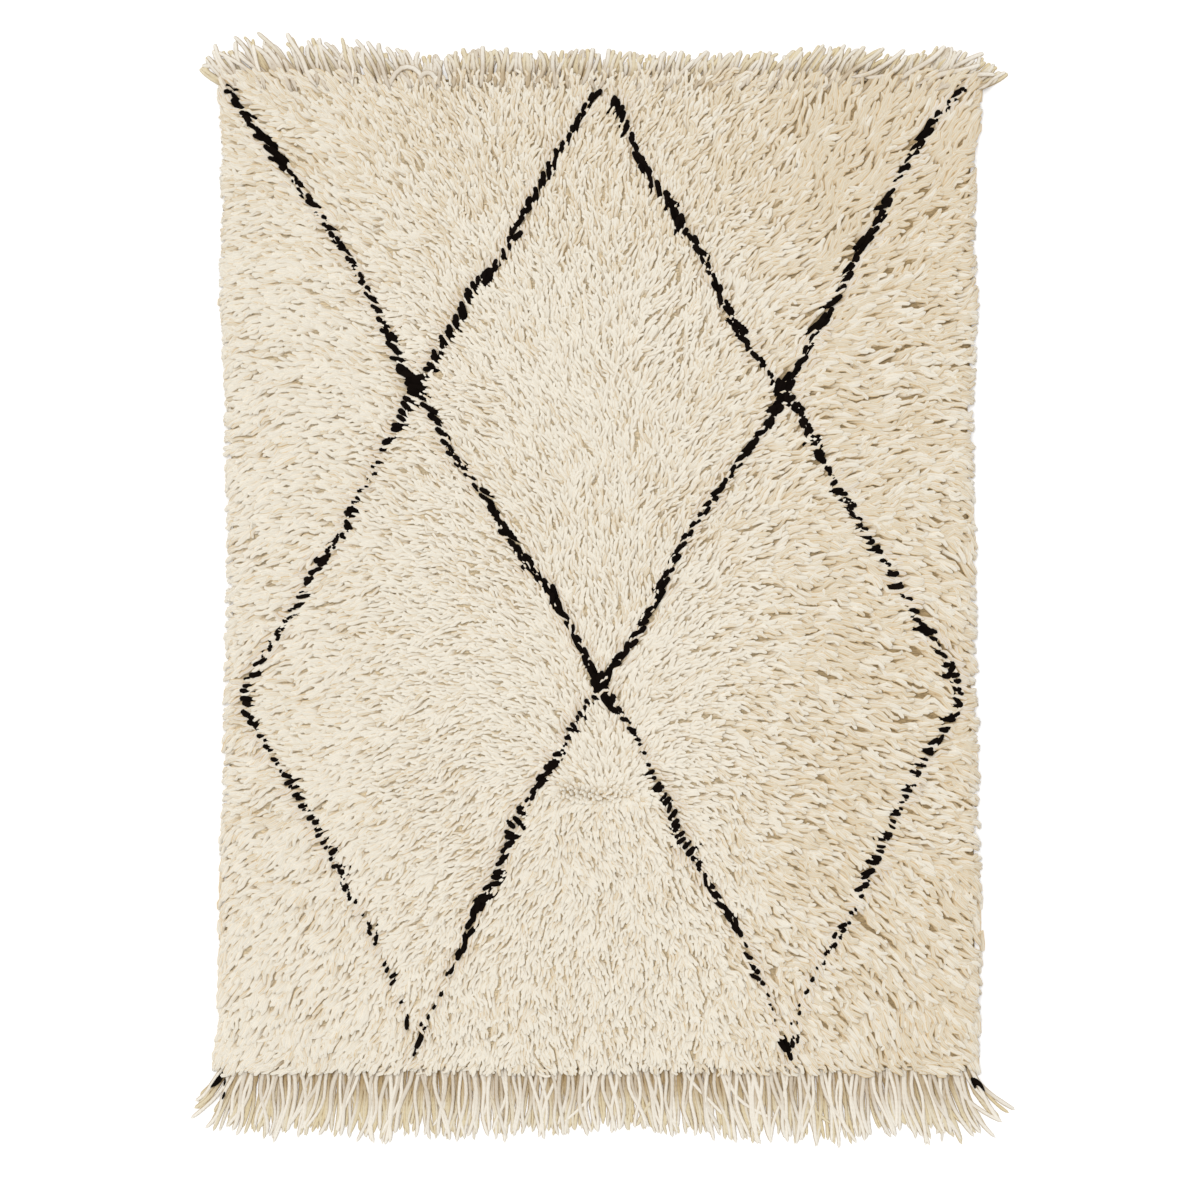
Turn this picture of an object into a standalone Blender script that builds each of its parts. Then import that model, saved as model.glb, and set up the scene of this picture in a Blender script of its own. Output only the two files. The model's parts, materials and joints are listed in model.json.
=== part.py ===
"""A hand-knotted wool rug, lying flat: shaggy cream pile, a short fringe, a long fringe, black corner tufts.

Metres, +Z up. The underside is on Z = 0 and the rug's length runs along Y, with the long fringe at the -Y end.
"""

import math
import random

import bmesh
import bpy

# The knotted field
FAR_EDGE = 0.934
NEAR_EDGE = -0.880
PILE_TOP = 0.029
CORNER_RADIUS = 0.026
SWELL = 0.0022
FIELD_COLUMNS = 26
FIELD_ROWS = 36

# Reach of the pile to each side, a row for each place along the rug's length
SIDES = [
    # y, left, right
    (-0.880, -0.708, 0.683),
    (-0.711, -0.701, 0.685),
    (-0.529, -0.697, 0.684),
    (-0.347, -0.692, 0.681),
    (-0.092, -0.686, 0.677),
    (0.072, -0.685, 0.675),
    (0.308, -0.689, 0.672),
    (0.509, -0.697, 0.680),
    (0.709, -0.695, 0.676),
    (0.934, -0.699, 0.686),
]

# Section of the pile's rim, from the floor up and in over the top
RIM = [
    # inset, height
    (0.012, 0.000),
    (0.002, 0.005),
    (0.000, 0.012),
    (0.006, 0.021),
    (0.020, 0.027),
]

# Fringes lie on the floor as combs. Length and lean of the yarns, a row for each place along the end
GAP = 0.0003
YARN_THICKNESS = 0.007
SPINE_DEPTH = 0.008
YARN_SPACING = 0.0165
YARN_WIDTHS = (0.42, 0.31, 0.18)  # half widths at root, middle and tip, in spacings
SHORT_FRINGE = [
    # x, length, lean in degrees to the right
    (-0.694, 0.048, -60.0),
    (-0.664, 0.083, -36.0),
    (-0.555, 0.077, -25.0),
    (-0.462, 0.067, -20.0),
    (-0.326, 0.041, -10.0),
    (-0.190, 0.050, 0.0),
    (-0.080, 0.050, 9.0),
    (0.066, 0.044, 19.0),
    (0.284, 0.049, 30.0),
    (0.439, 0.063, 34.0),
    (0.548, 0.055, 38.0),
    (0.621, 0.064, 42.0),
    (0.678, 0.041, 60.0),
]
LONG_FRINGE = [
    # x, length, lean in degrees to the right
    (-0.690, 0.084, -44.0),
    (-0.668, 0.114, -24.0),
    (-0.620, 0.115, -15.0),
    (-0.500, 0.115, -8.0),
    (-0.300, 0.120, -3.0),
    (-0.100, 0.111, 0.0),
    (0.000, 0.102, 0.0),
    (0.100, 0.112, 2.0),
    (0.250, 0.123, 4.0),
    (0.400, 0.122, 6.0),
    (0.520, 0.112, 10.0),
    (0.600, 0.124, 14.0),
    (0.640, 0.126, 20.0),
    (0.664, 0.106, 46.0),
]

# Black yarn ends that lie on the long fringe, root to tip
TUFT_RADIUS = 0.0042
TUFT_TAPER = (0.45, 1.0, 0.85, 0.3)
LEFT_TUFT = ((-0.6925, -0.8862), (-0.7145, -0.9090))
RIGHT_TUFT = ((0.6680, -0.8862), (0.6910, -0.9110))
TUFT_BOW = 0.003

CREAM_WOOL = (0.76, 0.68, 0.54, 1.0)
FRINGE_WOOL = (0.68, 0.58, 0.43, 1.0)
BLACK_WOOL = (0.010, 0.008, 0.007, 1.0)


def clear_scene():
    for obj in list(bpy.data.objects):
        bpy.data.objects.remove(obj, do_unlink=True)
    for mesh in list(bpy.data.meshes):
        bpy.data.meshes.remove(mesh)


def wool(name, colour):
    material = bpy.data.materials.new(name)
    material.use_nodes = True
    shader = material.node_tree.nodes["Principled BSDF"]
    shader.inputs["Base Color"].default_value = colour
    shader.inputs["Roughness"].default_value = 0.9
    shader.inputs["Metallic"].default_value = 0.0
    return material


def along(table, at, column):
    """A table's column at this place, eased between its rows."""
    if at <= table[0][0]:
        return table[0][column]
    for low, high in zip(table, table[1:]):
        if at <= high[0]:
            part = (at - low[0]) / (high[0] - low[0])
            part = part * part * (3.0 - 2.0 * part)
            return low[column] + part * (high[column] - low[column])
    return table[-1][column]


def end_edge(x, edge):
    """The pile's end edge, which wanders a little across the rug."""
    return edge + 0.0012 * math.sin(9.0 * x + 4.0 * edge) + 0.0008 * math.sin(23.0 * x)


def swell(x, y):
    """Soft hollows and swells in the top of the pile."""
    slow = math.sin(6.1 * x + 1.3) * math.cos(4.7 * y + 0.4)
    middle = math.sin(11.0 * x - 7.0 * y) * math.cos(13.0 * y + 3.0 * x)
    fine = math.sin(31.0 * x + 9.0 * y) * math.sin(27.0 * y - 8.0 * x)
    return SWELL * (0.6 * slow + 0.6 * middle + 0.4 * fine)


def rounded(x, y, sides):
    """Moves a point near a corner onto arcs, so that the square rings of the grid turn the corner."""
    left, right, near, far = sides
    from_x = max(left + CORNER_RADIUS - x, x - right + CORNER_RADIUS, 0.0)
    from_y = max(near + CORNER_RADIUS - y, y - far + CORNER_RADIUS, 0.0)
    if from_x <= 0.0 or from_y <= 0.0:
        return x, y
    shrink = 1.0 - max(from_x, from_y) / math.hypot(from_x, from_y)
    x += from_x * shrink * (1.0 if x < (left + right) / 2 else -1.0)
    y += from_y * shrink * (1.0 if y < (near + far) / 2 else -1.0)
    return x, y


def rim_place(step, last):
    """How far in from the edge a grid line lies, its height there, and its share of the way across."""
    rings = len(RIM)
    inner = last - 2 * rings
    if step < rings:
        return RIM[step][0], RIM[step][1], 0.0
    if step > last - rings:
        return RIM[last - step][0], RIM[last - step][1], 1.0
    return RIM[-1][0], PILE_TOP, (step - rings + 1) / (inner + 2)


def field_point(i, j, last_i, last_j):
    inset_x, height_x, across = rim_place(i, last_i)
    inset_y, height_y, up = rim_place(j, last_j)
    near, far = NEAR_EDGE, FAR_EDGE
    y = near + inset_y + up * (far - near - 2 * inset_y)
    if 0.0 < up < 1.0:
        y = near + RIM[-1][0] + up * (far - near - 2 * RIM[-1][0])
    elif up == 1.0:
        y = far - inset_y
    left, right = along(SIDES, y, 1), along(SIDES, y, 2)
    if across == 0.0:
        x = left + inset_x
    elif across == 1.0:
        x = right - inset_x
    else:
        x = left + RIM[-1][0] + across * (right - left - 2 * RIM[-1][0])
    shift = end_edge(x, far) - far if up > 0.5 else end_edge(x, near) - near
    x, y = rounded(x, y, (left, right, near, far))
    y += shift * abs(2.0 * up - 1.0)
    height = min(height_x, height_y)
    if height == PILE_TOP:
        height += swell(x, y)
    return x, y, height


def knotted_field(collection, material):
    """The woven ground and its pile as one flat solid: a grid laid over the top, closed underneath."""
    last_i = FIELD_COLUMNS + 2 * len(RIM)
    last_j = FIELD_ROWS + 2 * len(RIM)
    bm = bmesh.new()
    bmesh.ops.create_grid(bm, x_segments=last_i, y_segments=last_j, size=0.5)
    for vertex in bm.verts:
        i = round((vertex.co.x + 0.5) * last_i)
        j = round((vertex.co.y + 0.5) * last_j)
        vertex.co = field_point(i, j, last_i, last_j)
    bmesh.ops.holes_fill(bm, edges=bm.edges[:], sides=0)
    bmesh.ops.recalc_face_normals(bm, faces=bm.faces[:])
    mesh = bpy.data.meshes.new("rug_body")
    bm.to_mesh(mesh)
    bm.free()
    mesh.shade_smooth()
    mesh.set_sharp_from_angle(angle=math.radians(50.0))
    mesh.materials.append(material)
    field = bpy.data.objects.new("rug_body", mesh)
    collection.objects.link(field)
    return field


def yarn_sides(x, width, table, base, outward, pick):
    """One yarn of a comb: up its left side, over its tip and down its right side."""
    length = along(table, x, 1) * pick.uniform(0.93, 1.05)
    lean = math.radians(along(table, x, 2) + pick.uniform(-2.0, 2.0))
    bow = pick.uniform(-0.08, 0.08) * width
    left, right = [], []
    for share, half in zip((0.0, 0.5, 1.0), YARN_WIDTHS):
        bent = lean * (0.75 + 0.25 * share)
        reach = share * length
        middle = x + reach * math.sin(bent) + bow * math.sin(math.pi * share)
        out = base + outward * reach * math.cos(bent)
        left.append((middle - half * width, out))
        right.append((middle + half * width, out))
    return left + right[::-1]


def comb(name, edge, outward, table, seed, collection, material):
    """A fringe as one comb: a narrow spine along the pile's end and yarns that lean and splay from it."""
    pick = random.Random(seed)
    left = along(SIDES, edge, 1) + RIM[0][0]
    right = along(SIDES, edge, 2) - RIM[0][0]
    count = round((right - left) / YARN_SPACING)
    spacing = (right - left) / count
    points = []
    for i in range(count + 1):
        x = left + i * spacing
        points.append((x, end_edge(x, edge) + outward * GAP))
    points.reverse()
    for i in range(count):
        x = left + (i + 0.5) * spacing
        base = end_edge(x, edge) + outward * (GAP + SPINE_DEPTH)
        points += yarn_sides(x, spacing, table, base, outward, pick)
    curve = bpy.data.curves.new(name, "CURVE")
    curve.dimensions = "2D"
    curve.fill_mode = "BOTH"
    curve.extrude = YARN_THICKNESS / 2
    spline = curve.splines.new("POLY")
    spline.points.add(len(points) - 1)
    for point, (x, y) in zip(spline.points, points):
        point.co = (x, y, 0.0, 1.0)
    spline.use_cyclic_u = True
    curve.materials.append(material)
    fringe = bpy.data.objects.new(name, curve)
    fringe.location.z = YARN_THICKNESS / 2
    collection.objects.link(fringe)
    return fringe


def tuft(name, ends, side, collection, material):
    """A tapered, slightly bowed bundle of yarn ends that lies on the long fringe."""
    (x0, y0), (x1, y1) = ends
    curve = bpy.data.curves.new(name, "CURVE")
    curve.dimensions = "3D"
    curve.bevel_depth = TUFT_RADIUS
    curve.bevel_resolution = 2
    curve.use_fill_caps = True
    spline = curve.splines.new("POLY")
    spline.points.add(len(TUFT_TAPER) - 1)
    for i, (point, radius) in enumerate(zip(spline.points, TUFT_TAPER)):
        share = i / (len(TUFT_TAPER) - 1)
        bow = side * TUFT_BOW * math.sin(math.pi * share)
        height = YARN_THICKNESS + GAP + TUFT_RADIUS
        point.co = (x0 + share * (x1 - x0) + bow, y0 + share * (y1 - y0) + abs(bow), height, 1.0)
        point.radius = radius
    curve.materials.append(material)
    bundle = bpy.data.objects.new(name, curve)
    collection.objects.link(bundle)
    return bundle


def centre_over_origin(objects):
    """Slides the whole rug so that the middle of its outer box is over the origin."""
    bpy.context.view_layer.update()
    graph = bpy.context.evaluated_depsgraph_get()
    places = []
    for obj in objects:
        shape = obj.evaluated_get(graph)
        mesh = shape.to_mesh()
        places += [shape.matrix_world @ vertex.co for vertex in mesh.vertices]
        shape.to_mesh_clear()
    for axis in (0, 1):
        low = min(place[axis] for place in places)
        high = max(place[axis] for place in places)
        for obj in objects:
            obj.location[axis] -= (low + high) / 2


def main():
    clear_scene()
    collection = bpy.data.collections.new("wool_rug")
    bpy.context.scene.collection.children.link(collection)
    cream = wool("cream_wool", CREAM_WOOL)
    plain = wool("fringe_wool", FRINGE_WOOL)
    black = wool("black_wool", BLACK_WOOL)
    objects = [
        knotted_field(collection, cream),
        comb("fringe_short_end", FAR_EDGE, 1.0, SHORT_FRINGE, 11, collection, plain),
        comb("fringe_long_end", NEAR_EDGE, -1.0, LONG_FRINGE, 12, collection, plain),
        tuft("black_tuft_left", LEFT_TUFT, -1.0, collection, black),
        tuft("black_tuft_right", RIGHT_TUFT, 1.0, collection, black),
    ]
    centre_over_origin(objects)


main()
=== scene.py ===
"""A hand-knotted wool rug, laid flat: woven ground, cream pile, black lattice, two fringes, corner tufts.

Metres, +Z up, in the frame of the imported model: the long fringe is at the -Y end and the underside on Z = 0.
"""

import json
import math

import bmesh
import bpy
import numpy as np
from bpy.props import FloatProperty, FloatVectorProperty, IntProperty, PointerProperty
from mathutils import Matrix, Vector
from mathutils.kdtree import KDTree

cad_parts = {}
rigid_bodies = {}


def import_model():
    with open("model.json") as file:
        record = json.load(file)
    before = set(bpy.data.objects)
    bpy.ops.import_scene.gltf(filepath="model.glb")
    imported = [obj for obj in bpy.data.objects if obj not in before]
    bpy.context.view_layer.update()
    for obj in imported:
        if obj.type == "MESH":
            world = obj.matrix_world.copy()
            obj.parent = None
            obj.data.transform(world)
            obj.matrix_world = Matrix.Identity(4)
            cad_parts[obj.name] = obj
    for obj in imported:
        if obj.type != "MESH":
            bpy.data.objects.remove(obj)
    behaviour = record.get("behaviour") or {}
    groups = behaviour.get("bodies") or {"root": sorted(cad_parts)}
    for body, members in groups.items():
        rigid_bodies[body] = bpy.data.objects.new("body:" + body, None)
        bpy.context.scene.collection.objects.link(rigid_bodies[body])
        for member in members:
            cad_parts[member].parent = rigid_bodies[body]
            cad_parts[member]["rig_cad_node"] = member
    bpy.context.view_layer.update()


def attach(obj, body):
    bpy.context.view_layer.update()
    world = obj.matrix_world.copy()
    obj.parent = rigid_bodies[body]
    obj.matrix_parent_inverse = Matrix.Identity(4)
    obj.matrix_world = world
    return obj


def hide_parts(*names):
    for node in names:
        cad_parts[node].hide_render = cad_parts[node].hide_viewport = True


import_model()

bl_info = {
    "name": "Knotted Wool Rug",
    "version": (1, 0, 0),
    "blender": (4, 5, 0),
    "location": "3D View > Sidebar > Wool Rug",
    "description": "Makes a shaggy knotted rug with a black lattice and a fringe at each end",
    "category": "Add Mesh",
}

BODY = "root"

# The pile's outline
FAR_EDGE = 0.9363
NEAR_EDGE = -0.8777
SIDES = [
    # y, left, right
    (-0.878, -0.703, 0.688),
    (-0.709, -0.696, 0.690),
    (-0.527, -0.692, 0.689),
    (-0.345, -0.687, 0.686),
    (-0.090, -0.681, 0.682),
    (0.074, -0.680, 0.680),
    (0.310, -0.684, 0.677),
    (0.511, -0.692, 0.685),
    (0.711, -0.690, 0.681),
    (0.936, -0.694, 0.691),
]

# The way the pile's tips point, in degrees: 0 is +X and 90 is +Y
LEAN_X = (-0.685, -0.320, -0.150, -0.002, 0.150, 0.316, 0.680)
PILE_LEAN = [
    # y, then the lean at each place of LEAN_X
    (-0.835, 225, 252, 262, 270, 282, 300, 320),
    (-0.670, 226, 240, 255, 270, 292, 315, 320),
    (-0.410, 212, 204, 228, 268, 318, 332, 335),
    (-0.345, 205, 202, 190, 94, 350, 340, 340),
    (-0.235, 198, 200, 165, 95, 15, 350, 345),
    (0.055, 206, 166, 125, 92, 58, 25, -34),
    (0.350, 200, 160, 125, 95, 62, 35, -9),
    (0.640, 188, 135, 115, 94, 68, 45, 15),
    (0.930, 148, 115, 92, 70, 62, 55, 40),
]

# Places where the pile parts and stands up, falling away to all sides
CROWNS = [
    # x, y, half length across the rug, half length along it, sideways push, push along the rug
    (0.002, -0.365, 0.046, 0.022, 0.7, 1.1),
    (0.345, -0.694, 0.026, 0.026, 1.6, 1.6),
]

# A parting in the pile, where no strand's tip lies
PARTING = [
    # x, y
    (-0.080, -0.366),
    (-0.035, -0.368),
    (0.012, -0.374),
    (0.036, -0.372),
]

# The black lattice: four hand-knotted lines, with how heavy each is from place to place
FALLING_LEFT = [
    # x, y, weight, the way its strands lie in degrees
    (-0.686, 0.922, 0.5, -25),
    (-0.663, 0.888, 1.25, -42),
    (-0.628, 0.839, 0.95, -40),
    (-0.588, 0.786, 0.85, -50),
    (-0.521, 0.697, 0.8, -48),
    (-0.453, 0.597, 0.65, -55),
    (-0.412, 0.520, 0.8, -50),
    (-0.366, 0.416, 1.0, -38),
    (-0.341, 0.369, 1.3, -12),
    (-0.311, 0.325, 0.8, -35),
    (-0.268, 0.243, 0.6, -35),
    (-0.211, 0.172, 0.75, -50),
    (-0.148, 0.069, 1.0, -52),
    (-0.093, -0.000, 1.0, -64),
    (-0.033, -0.108, 0.95, -64),
    (-0.006, -0.168, 1.3, -72),
    (0.016, -0.201, 1.2, -55),
    (0.049, -0.239, 0.7, -40),
    (0.076, -0.293, 0.3, -25),
    (0.098, -0.344, 0.6, 35),
    (0.131, -0.403, 0.85, 75),
    (0.149, -0.457, 0.85, 42),
    (0.176, -0.497, 0.75, 38),
    (0.196, -0.534, 0.6, -65),
    (0.220, -0.568, 0.85, -50),
    (0.242, -0.603, 0.8, -60),
    (0.258, -0.639, 0.3, -50),
    (0.275, -0.676, 0.5, -20),
    (0.293, -0.716, 0.3, -40),
    (0.316, -0.767, 0.1, -40),
]
FALLING_FROM_TOP = [
    # x, y, weight, the way its strands lie in degrees
    (-0.002, 0.911, 0.8, 68),
    (-0.028, 0.879, 0.6, 58),
    (-0.040, 0.857, 1.0, 60),
    (-0.069, 0.811, 0.8, -85),
    (-0.095, 0.766, 1.0, -80),
    (-0.117, 0.729, 0.9, -78),
    (-0.135, 0.697, 1.1, 58),
    (-0.159, 0.653, 0.9, 50),
    (-0.175, 0.617, 0.5, -85),
    (-0.202, 0.578, 1.0, 45),
    (-0.240, 0.546, 0.8, -55),
    (-0.264, 0.493, 1.15, -70),
    (-0.297, 0.435, 1.0, -75),
    (-0.317, 0.405, 1.3, -12),
    (-0.342, 0.362, 1.7, -15),
    (-0.359, 0.325, 1.1, -50),
    (-0.370, 0.304, 0.8, -15),
    (-0.393, 0.265, 0.5, 15),
    (-0.421, 0.202, 0.3, 0),
    (-0.452, 0.156, 0.8, 0),
    (-0.463, 0.114, 0.8, -55),
    (-0.488, 0.083, 0.9, -90),
    (-0.508, 0.051, 1.0, 30),
    (-0.532, 0.020, 0.8, 10),
    (-0.555, -0.030, 0.8, 35),
    (-0.583, -0.073, 0.6, 35),
    (-0.601, -0.102, 0.4, -80),
    (-0.625, -0.133, 0.7, 35),
    (-0.650, -0.181, 0.8, -5),
    (-0.646, -0.219, 0.8, -30),
    (-0.606, -0.284, 0.5, -10),
    (-0.537, -0.399, 0.6, 10),
    (-0.506, -0.454, 0.5, 30),
    (-0.486, -0.486, 0.7, 35),
    (-0.470, -0.530, 0.8, -50),
    (-0.437, -0.585, 0.3, 60),
    (-0.417, -0.621, 0.8, -65),
    (-0.401, -0.661, 0.25, 40),
    (-0.382, -0.701, 0.3, 35),
    (-0.353, -0.779, 0.2, 40),
]
RISING_FROM_TOP = [
    # x, y, weight, the way its strands lie in degrees
    (0.020, 0.897, 1.1, 80),
    (0.042, 0.860, 1.0, 62),
    (0.056, 0.817, 1.2, -72),
    (0.074, 0.773, 1.1, -78),
    (0.107, 0.729, 1.0, -62),
    (0.134, 0.693, 1.2, -60),
    (0.145, 0.664, 0.9, 60),
    (0.169, 0.635, 1.1, -58),
    (0.191, 0.595, 1.1, -62),
    (0.213, 0.547, 1.1, -55),
    (0.245, 0.487, 1.1, -58),
    (0.271, 0.444, 0.7, -58),
    (0.304, 0.393, 0.5, -50),
    (0.331, 0.367, 1.5, 60),
    (0.349, 0.340, 1.4, 10),
    (0.369, 0.311, 1.1, -60),
    (0.382, 0.282, 1.2, -85),
    (0.398, 0.251, 1.1, -52),
    (0.418, 0.220, 0.7, -62),
    (0.424, 0.203, 0.4, 40),
    (0.440, 0.174, 0.9, -45),
    (0.462, 0.136, 0.9, -45),
    (0.495, 0.083, 0.7, 40),
    (0.504, 0.072, 0.8, -10),
    (0.520, 0.045, 0.5, -45),
    (0.533, 0.027, 0.9, 50),
    (0.549, -0.006, 0.5, -40),
    (0.566, -0.033, 0.9, -25),
    (0.584, -0.064, 1.1, -30),
    (0.606, -0.084, 1.0, -12),
    (0.617, -0.115, 0.6, -30),
    (0.631, -0.131, 1.1, 10),
    (0.646, -0.166, 1.1, 38),
    (0.655, -0.195, 1.0, -35),
    (0.644, -0.221, 0.9, 5),
    (0.629, -0.250, 0.9, 0),
    (0.609, -0.272, 0.7, 30),
    (0.582, -0.315, 0.55, -30),
    (0.566, -0.348, 0.7, -10),
    (0.549, -0.381, 0.45, 0),
    (0.529, -0.428, 0.8, -20),
    (0.506, -0.468, 1.2, -15),
    (0.493, -0.497, 1.0, 10),
    (0.473, -0.545, 0.8, 40),
    (0.462, -0.576, 0.5, 35),
    (0.446, -0.606, 0.7, 40),
    (0.426, -0.632, 0.9, 60),
    (0.409, -0.661, 0.4, 50),
    (0.384, -0.714, 0.4, 50),
    (0.356, -0.770, 0.3, 50),
]
FALLING_RIGHT = [
    # x, y, weight, the way its strands lie in degrees
    (0.660, 0.915, 1.6, -30),
    (0.644, 0.895, 0.2, 45),
    (0.620, 0.875, 0.8, 50),
    (0.595, 0.842, 1.0, 58),
    (0.579, 0.815, 1.3, 55),
    (0.558, 0.780, 0.9, 44),
    (0.531, 0.738, 0.15, 45),
    (0.517, 0.702, 1.2, 62),
    (0.497, 0.655, 0.9, 52),
    (0.477, 0.631, 1.1, 50),
    (0.458, 0.591, 1.2, 60),
    (0.440, 0.556, 0.9, 48),
    (0.417, 0.513, 1.0, 42),
    (0.389, 0.469, 1.0, 45),
    (0.364, 0.416, 1.2, 60),
    (0.340, 0.376, 1.8, 62),
    (0.318, 0.327, 1.0, 55),
    (0.269, 0.258, 0.8, 50),
    (0.216, 0.183, 0.7, 50),
    (0.154, 0.098, 0.6, 48),
    (0.089, -0.035, 1.0, 50),
    (0.073, -0.066, 0.9, 28),
    (0.049, -0.102, 0.9, 55),
    (0.022, -0.137, 1.3, 58),
    (0.003, -0.162, 1.5, 74),
    (-0.009, -0.184, 1.1, 0),
    (-0.040, -0.224, 0.5, -75),
    (-0.051, -0.246, 0.8, -50),
    (-0.066, -0.275, 0.8, 30),
    (-0.080, -0.299, 0.8, 18),
    (-0.099, -0.326, 1.0, 70),
    (-0.126, -0.372, 0.9, 40),
    (-0.157, -0.421, 0.9, -50),
    (-0.175, -0.468, 0.8, 40),
    (-0.193, -0.523, 0.9, 0),
    (-0.211, -0.550, 1.1, 38),
    (-0.235, -0.596, 1.3, 80),
    (-0.244, -0.632, 0.8, 70),
    (-0.266, -0.672, 0.3, 65),
    (-0.291, -0.727, 0.25, 70),
    (-0.330, -0.799, 0.3, 60),
]
LATTICE = (FALLING_LEFT, FALLING_FROM_TOP, RISING_FROM_TOP, FALLING_RIGHT)

# The lower corners of the lattice: single black strands that lie crosswise to the pile
VERTEX_STRANDS = [
    # tip x, tip y, way it points in degrees, how much shows, width
    (0.346, -0.854, 297, 0.024, 0.0095),
    (0.336, -0.838, 297, 0.022, 0.0100),
    (0.331, -0.825, 300, 0.018, 0.0064),
    (0.343, -0.838, 285, 0.020, 0.0105),
    (0.348, -0.831, 272, 0.020, 0.0092),
    (0.356, -0.823, 262, 0.016, 0.0070),
    (0.313, -0.763, 300, 0.006, 0.0040),
    (0.316, -0.783, 290, 0.006, 0.0040),
    (0.360, -0.770, 250, 0.007, 0.0040),
    (0.346, -0.789, 270, 0.009, 0.0050),
    (0.356, -0.788, 260, 0.007, 0.0040),
    (-0.342, -0.846, 245, 0.018, 0.0056),
    (-0.337, -0.832, 240, 0.022, 0.0105),
    (-0.331, -0.823, 245, 0.018, 0.0085),
    (-0.353, -0.798, 268, 0.018, 0.0080),
    (-0.322, -0.798, 240, 0.008, 0.0052),
]

# Fringes, a row for each place along the end of the rug
SHORT_FRINGE = [
    # x, how far the tips reach past the pile, lean of the strands in degrees to the right
    (-0.735, 0.012, -72.0),
    (-0.708, 0.058, -50.0),
    (-0.650, 0.074, -40.0),
    (-0.530, 0.070, -32.0),
    (-0.457, 0.062, -26.0),
    (-0.366, 0.048, -20.0),
    (-0.321, 0.040, -14.0),
    (-0.210, 0.050, 0.0),
    (-0.120, 0.042, 8.0),
    (-0.020, 0.050, 14.0),
    (0.080, 0.040, 20.0),
    (0.140, 0.047, 26.0),
    (0.320, 0.042, 34.0),
    (0.425, 0.054, 40.0),
    (0.555, 0.044, 44.0),
    (0.630, 0.052, 46.0),
    (0.690, 0.040, 52.0),
    (0.742, 0.006, 74.0),
]
LONG_FRINGE = [
    # x, length, lean in degrees to the right
    (-0.687, 0.078, -40.0),
    (-0.663, 0.112, -24.0),
    (-0.615, 0.114, -15.0),
    (-0.495, 0.116, -9.0),
    (-0.295, 0.121, -4.0),
    (-0.095, 0.113, 0.0),
    (0.005, 0.104, 1.0),
    (0.105, 0.114, 4.0),
    (0.255, 0.125, 6.0),
    (0.405, 0.123, 7.0),
    (0.525, 0.115, 9.0),
    (0.605, 0.126, 13.0),
    (0.645, 0.128, 20.0),
    (0.672, 0.105, 42.0),
]
# The lightness of each layer paints the lower layers darker, as shade under the yarns on top
LONG_LAYERS = [
    # yarns, width share, height at the root, wander in degrees, sway, length share, lightness
    (250, 0.92, 0.0002, 2.5, 0.0014, 0.88, 0.16),
    (180, 0.94, 0.0028, 5.0, 0.0034, 0.96, 0.46),
    (140, 1.06, 0.0062, 6.5, 0.0046, 1.01, 0.92),
]
LONG_RINGS = (0.0, 0.12, 0.25, 0.38, 0.51, 0.64, 0.77, 0.88, 0.96, 1.0)  # shares of a yarn's length
LONG_TAPER = ((0.0, 0.12, 0.88, 0.96), (1.0, 1.0, 0.92, 0.70))  # shares of the length, and of the width there
# The lightness of each layer paints the lower layers darker, as shade under the yarns on top
SHORT_LAYERS = [
    # yarns, width share, height at the root, wander in degrees, sway, length share, lightness
    (200, 0.98, 0.0030, 5.0, 0.0014, 0.90, 0.10),
    (160, 1.02, 0.0080, 7.0, 0.0022, 0.98, 0.26),
    (130, 1.06, 0.0125, 8.0, 0.0030, 1.00, 0.46),
]
SHORT_RINGS = (0.0, 0.14, 0.28, 0.42, 0.56, 0.70, 0.84, 0.94, 0.985, 1.0)
SHORT_TAPER = (
    (0.0, 0.14, 0.70, 0.84, 0.94, 0.985),
    (0.40, 1.0, 1.0, 0.97, 0.90, 0.64),
)

# Yarns of the short fringe that sweep over the pile's edge
SWEPT_YARNS = [
    # x, y, bend x, bend y, bend x, bend y, tip x, tip y, height at the start, height at the tip
    (-0.388, 0.903, -0.378, 0.964, -0.335, 0.962, -0.324, 0.928, 0.0180, 0.0190),
    (-0.330, 0.926, -0.328, 0.944, -0.304, 0.950, -0.299, 0.922, 0.0180, 0.0180),
    (0.126, 0.920, 0.138, 0.934, 0.152, 0.944, 0.170, 0.966, 0.0180, 0.0060),
    (0.478, 0.933, 0.505, 0.930, 0.538, 0.934, 0.556, 0.975, 0.0180, 0.0050),
    (0.546, 0.929, 0.562, 0.950, 0.600, 0.954, 0.626, 0.992, 0.0180, 0.0050),
    (0.600, 0.926, 0.616, 0.948, 0.646, 0.936, 0.690, 0.957, 0.0180, 0.0060),
    (0.650, 0.934, 0.662, 0.932, 0.690, 0.942, 0.716, 0.938, 0.0180, 0.0070),
]

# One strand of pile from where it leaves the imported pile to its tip
STRAND_RINGS = [
    # share of the reach, share of the rise, share of the width: of the cream, and of the black
    (0.00, 0.42, 0.85, 0.80),
    (0.42, 0.75, 1.00, 1.00),
    (0.76, 0.94, 1.00, 1.00),
    (0.94, 1.00, 0.78, 0.76),
    (1.00, 0.98, 0.00, 0.00),
]
STRAND_SECTION = [(-1.0, 0.0), (0.0, 1.0), (1.0, 0.0)]  # flat underneath, with a ridge on top
YARN_SECTION = [(-1.0, 0.0), (-0.62, 0.72), (0.0, 1.0), (0.62, 0.72), (1.0, 0.0)]  # flat under, round on top

YARN_ROUNDNESS = 0.85  # a fringe yarn's height to its half width

# How the pile swirls over its lean
SWIRLS = [
    # degrees, size of a swirl, seed
    (18.0, 0.019, 4),
    (17.0, 0.042, 5),
    (13.0, 0.090, 6),
    (8.0, 0.20, 7),
]

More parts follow.
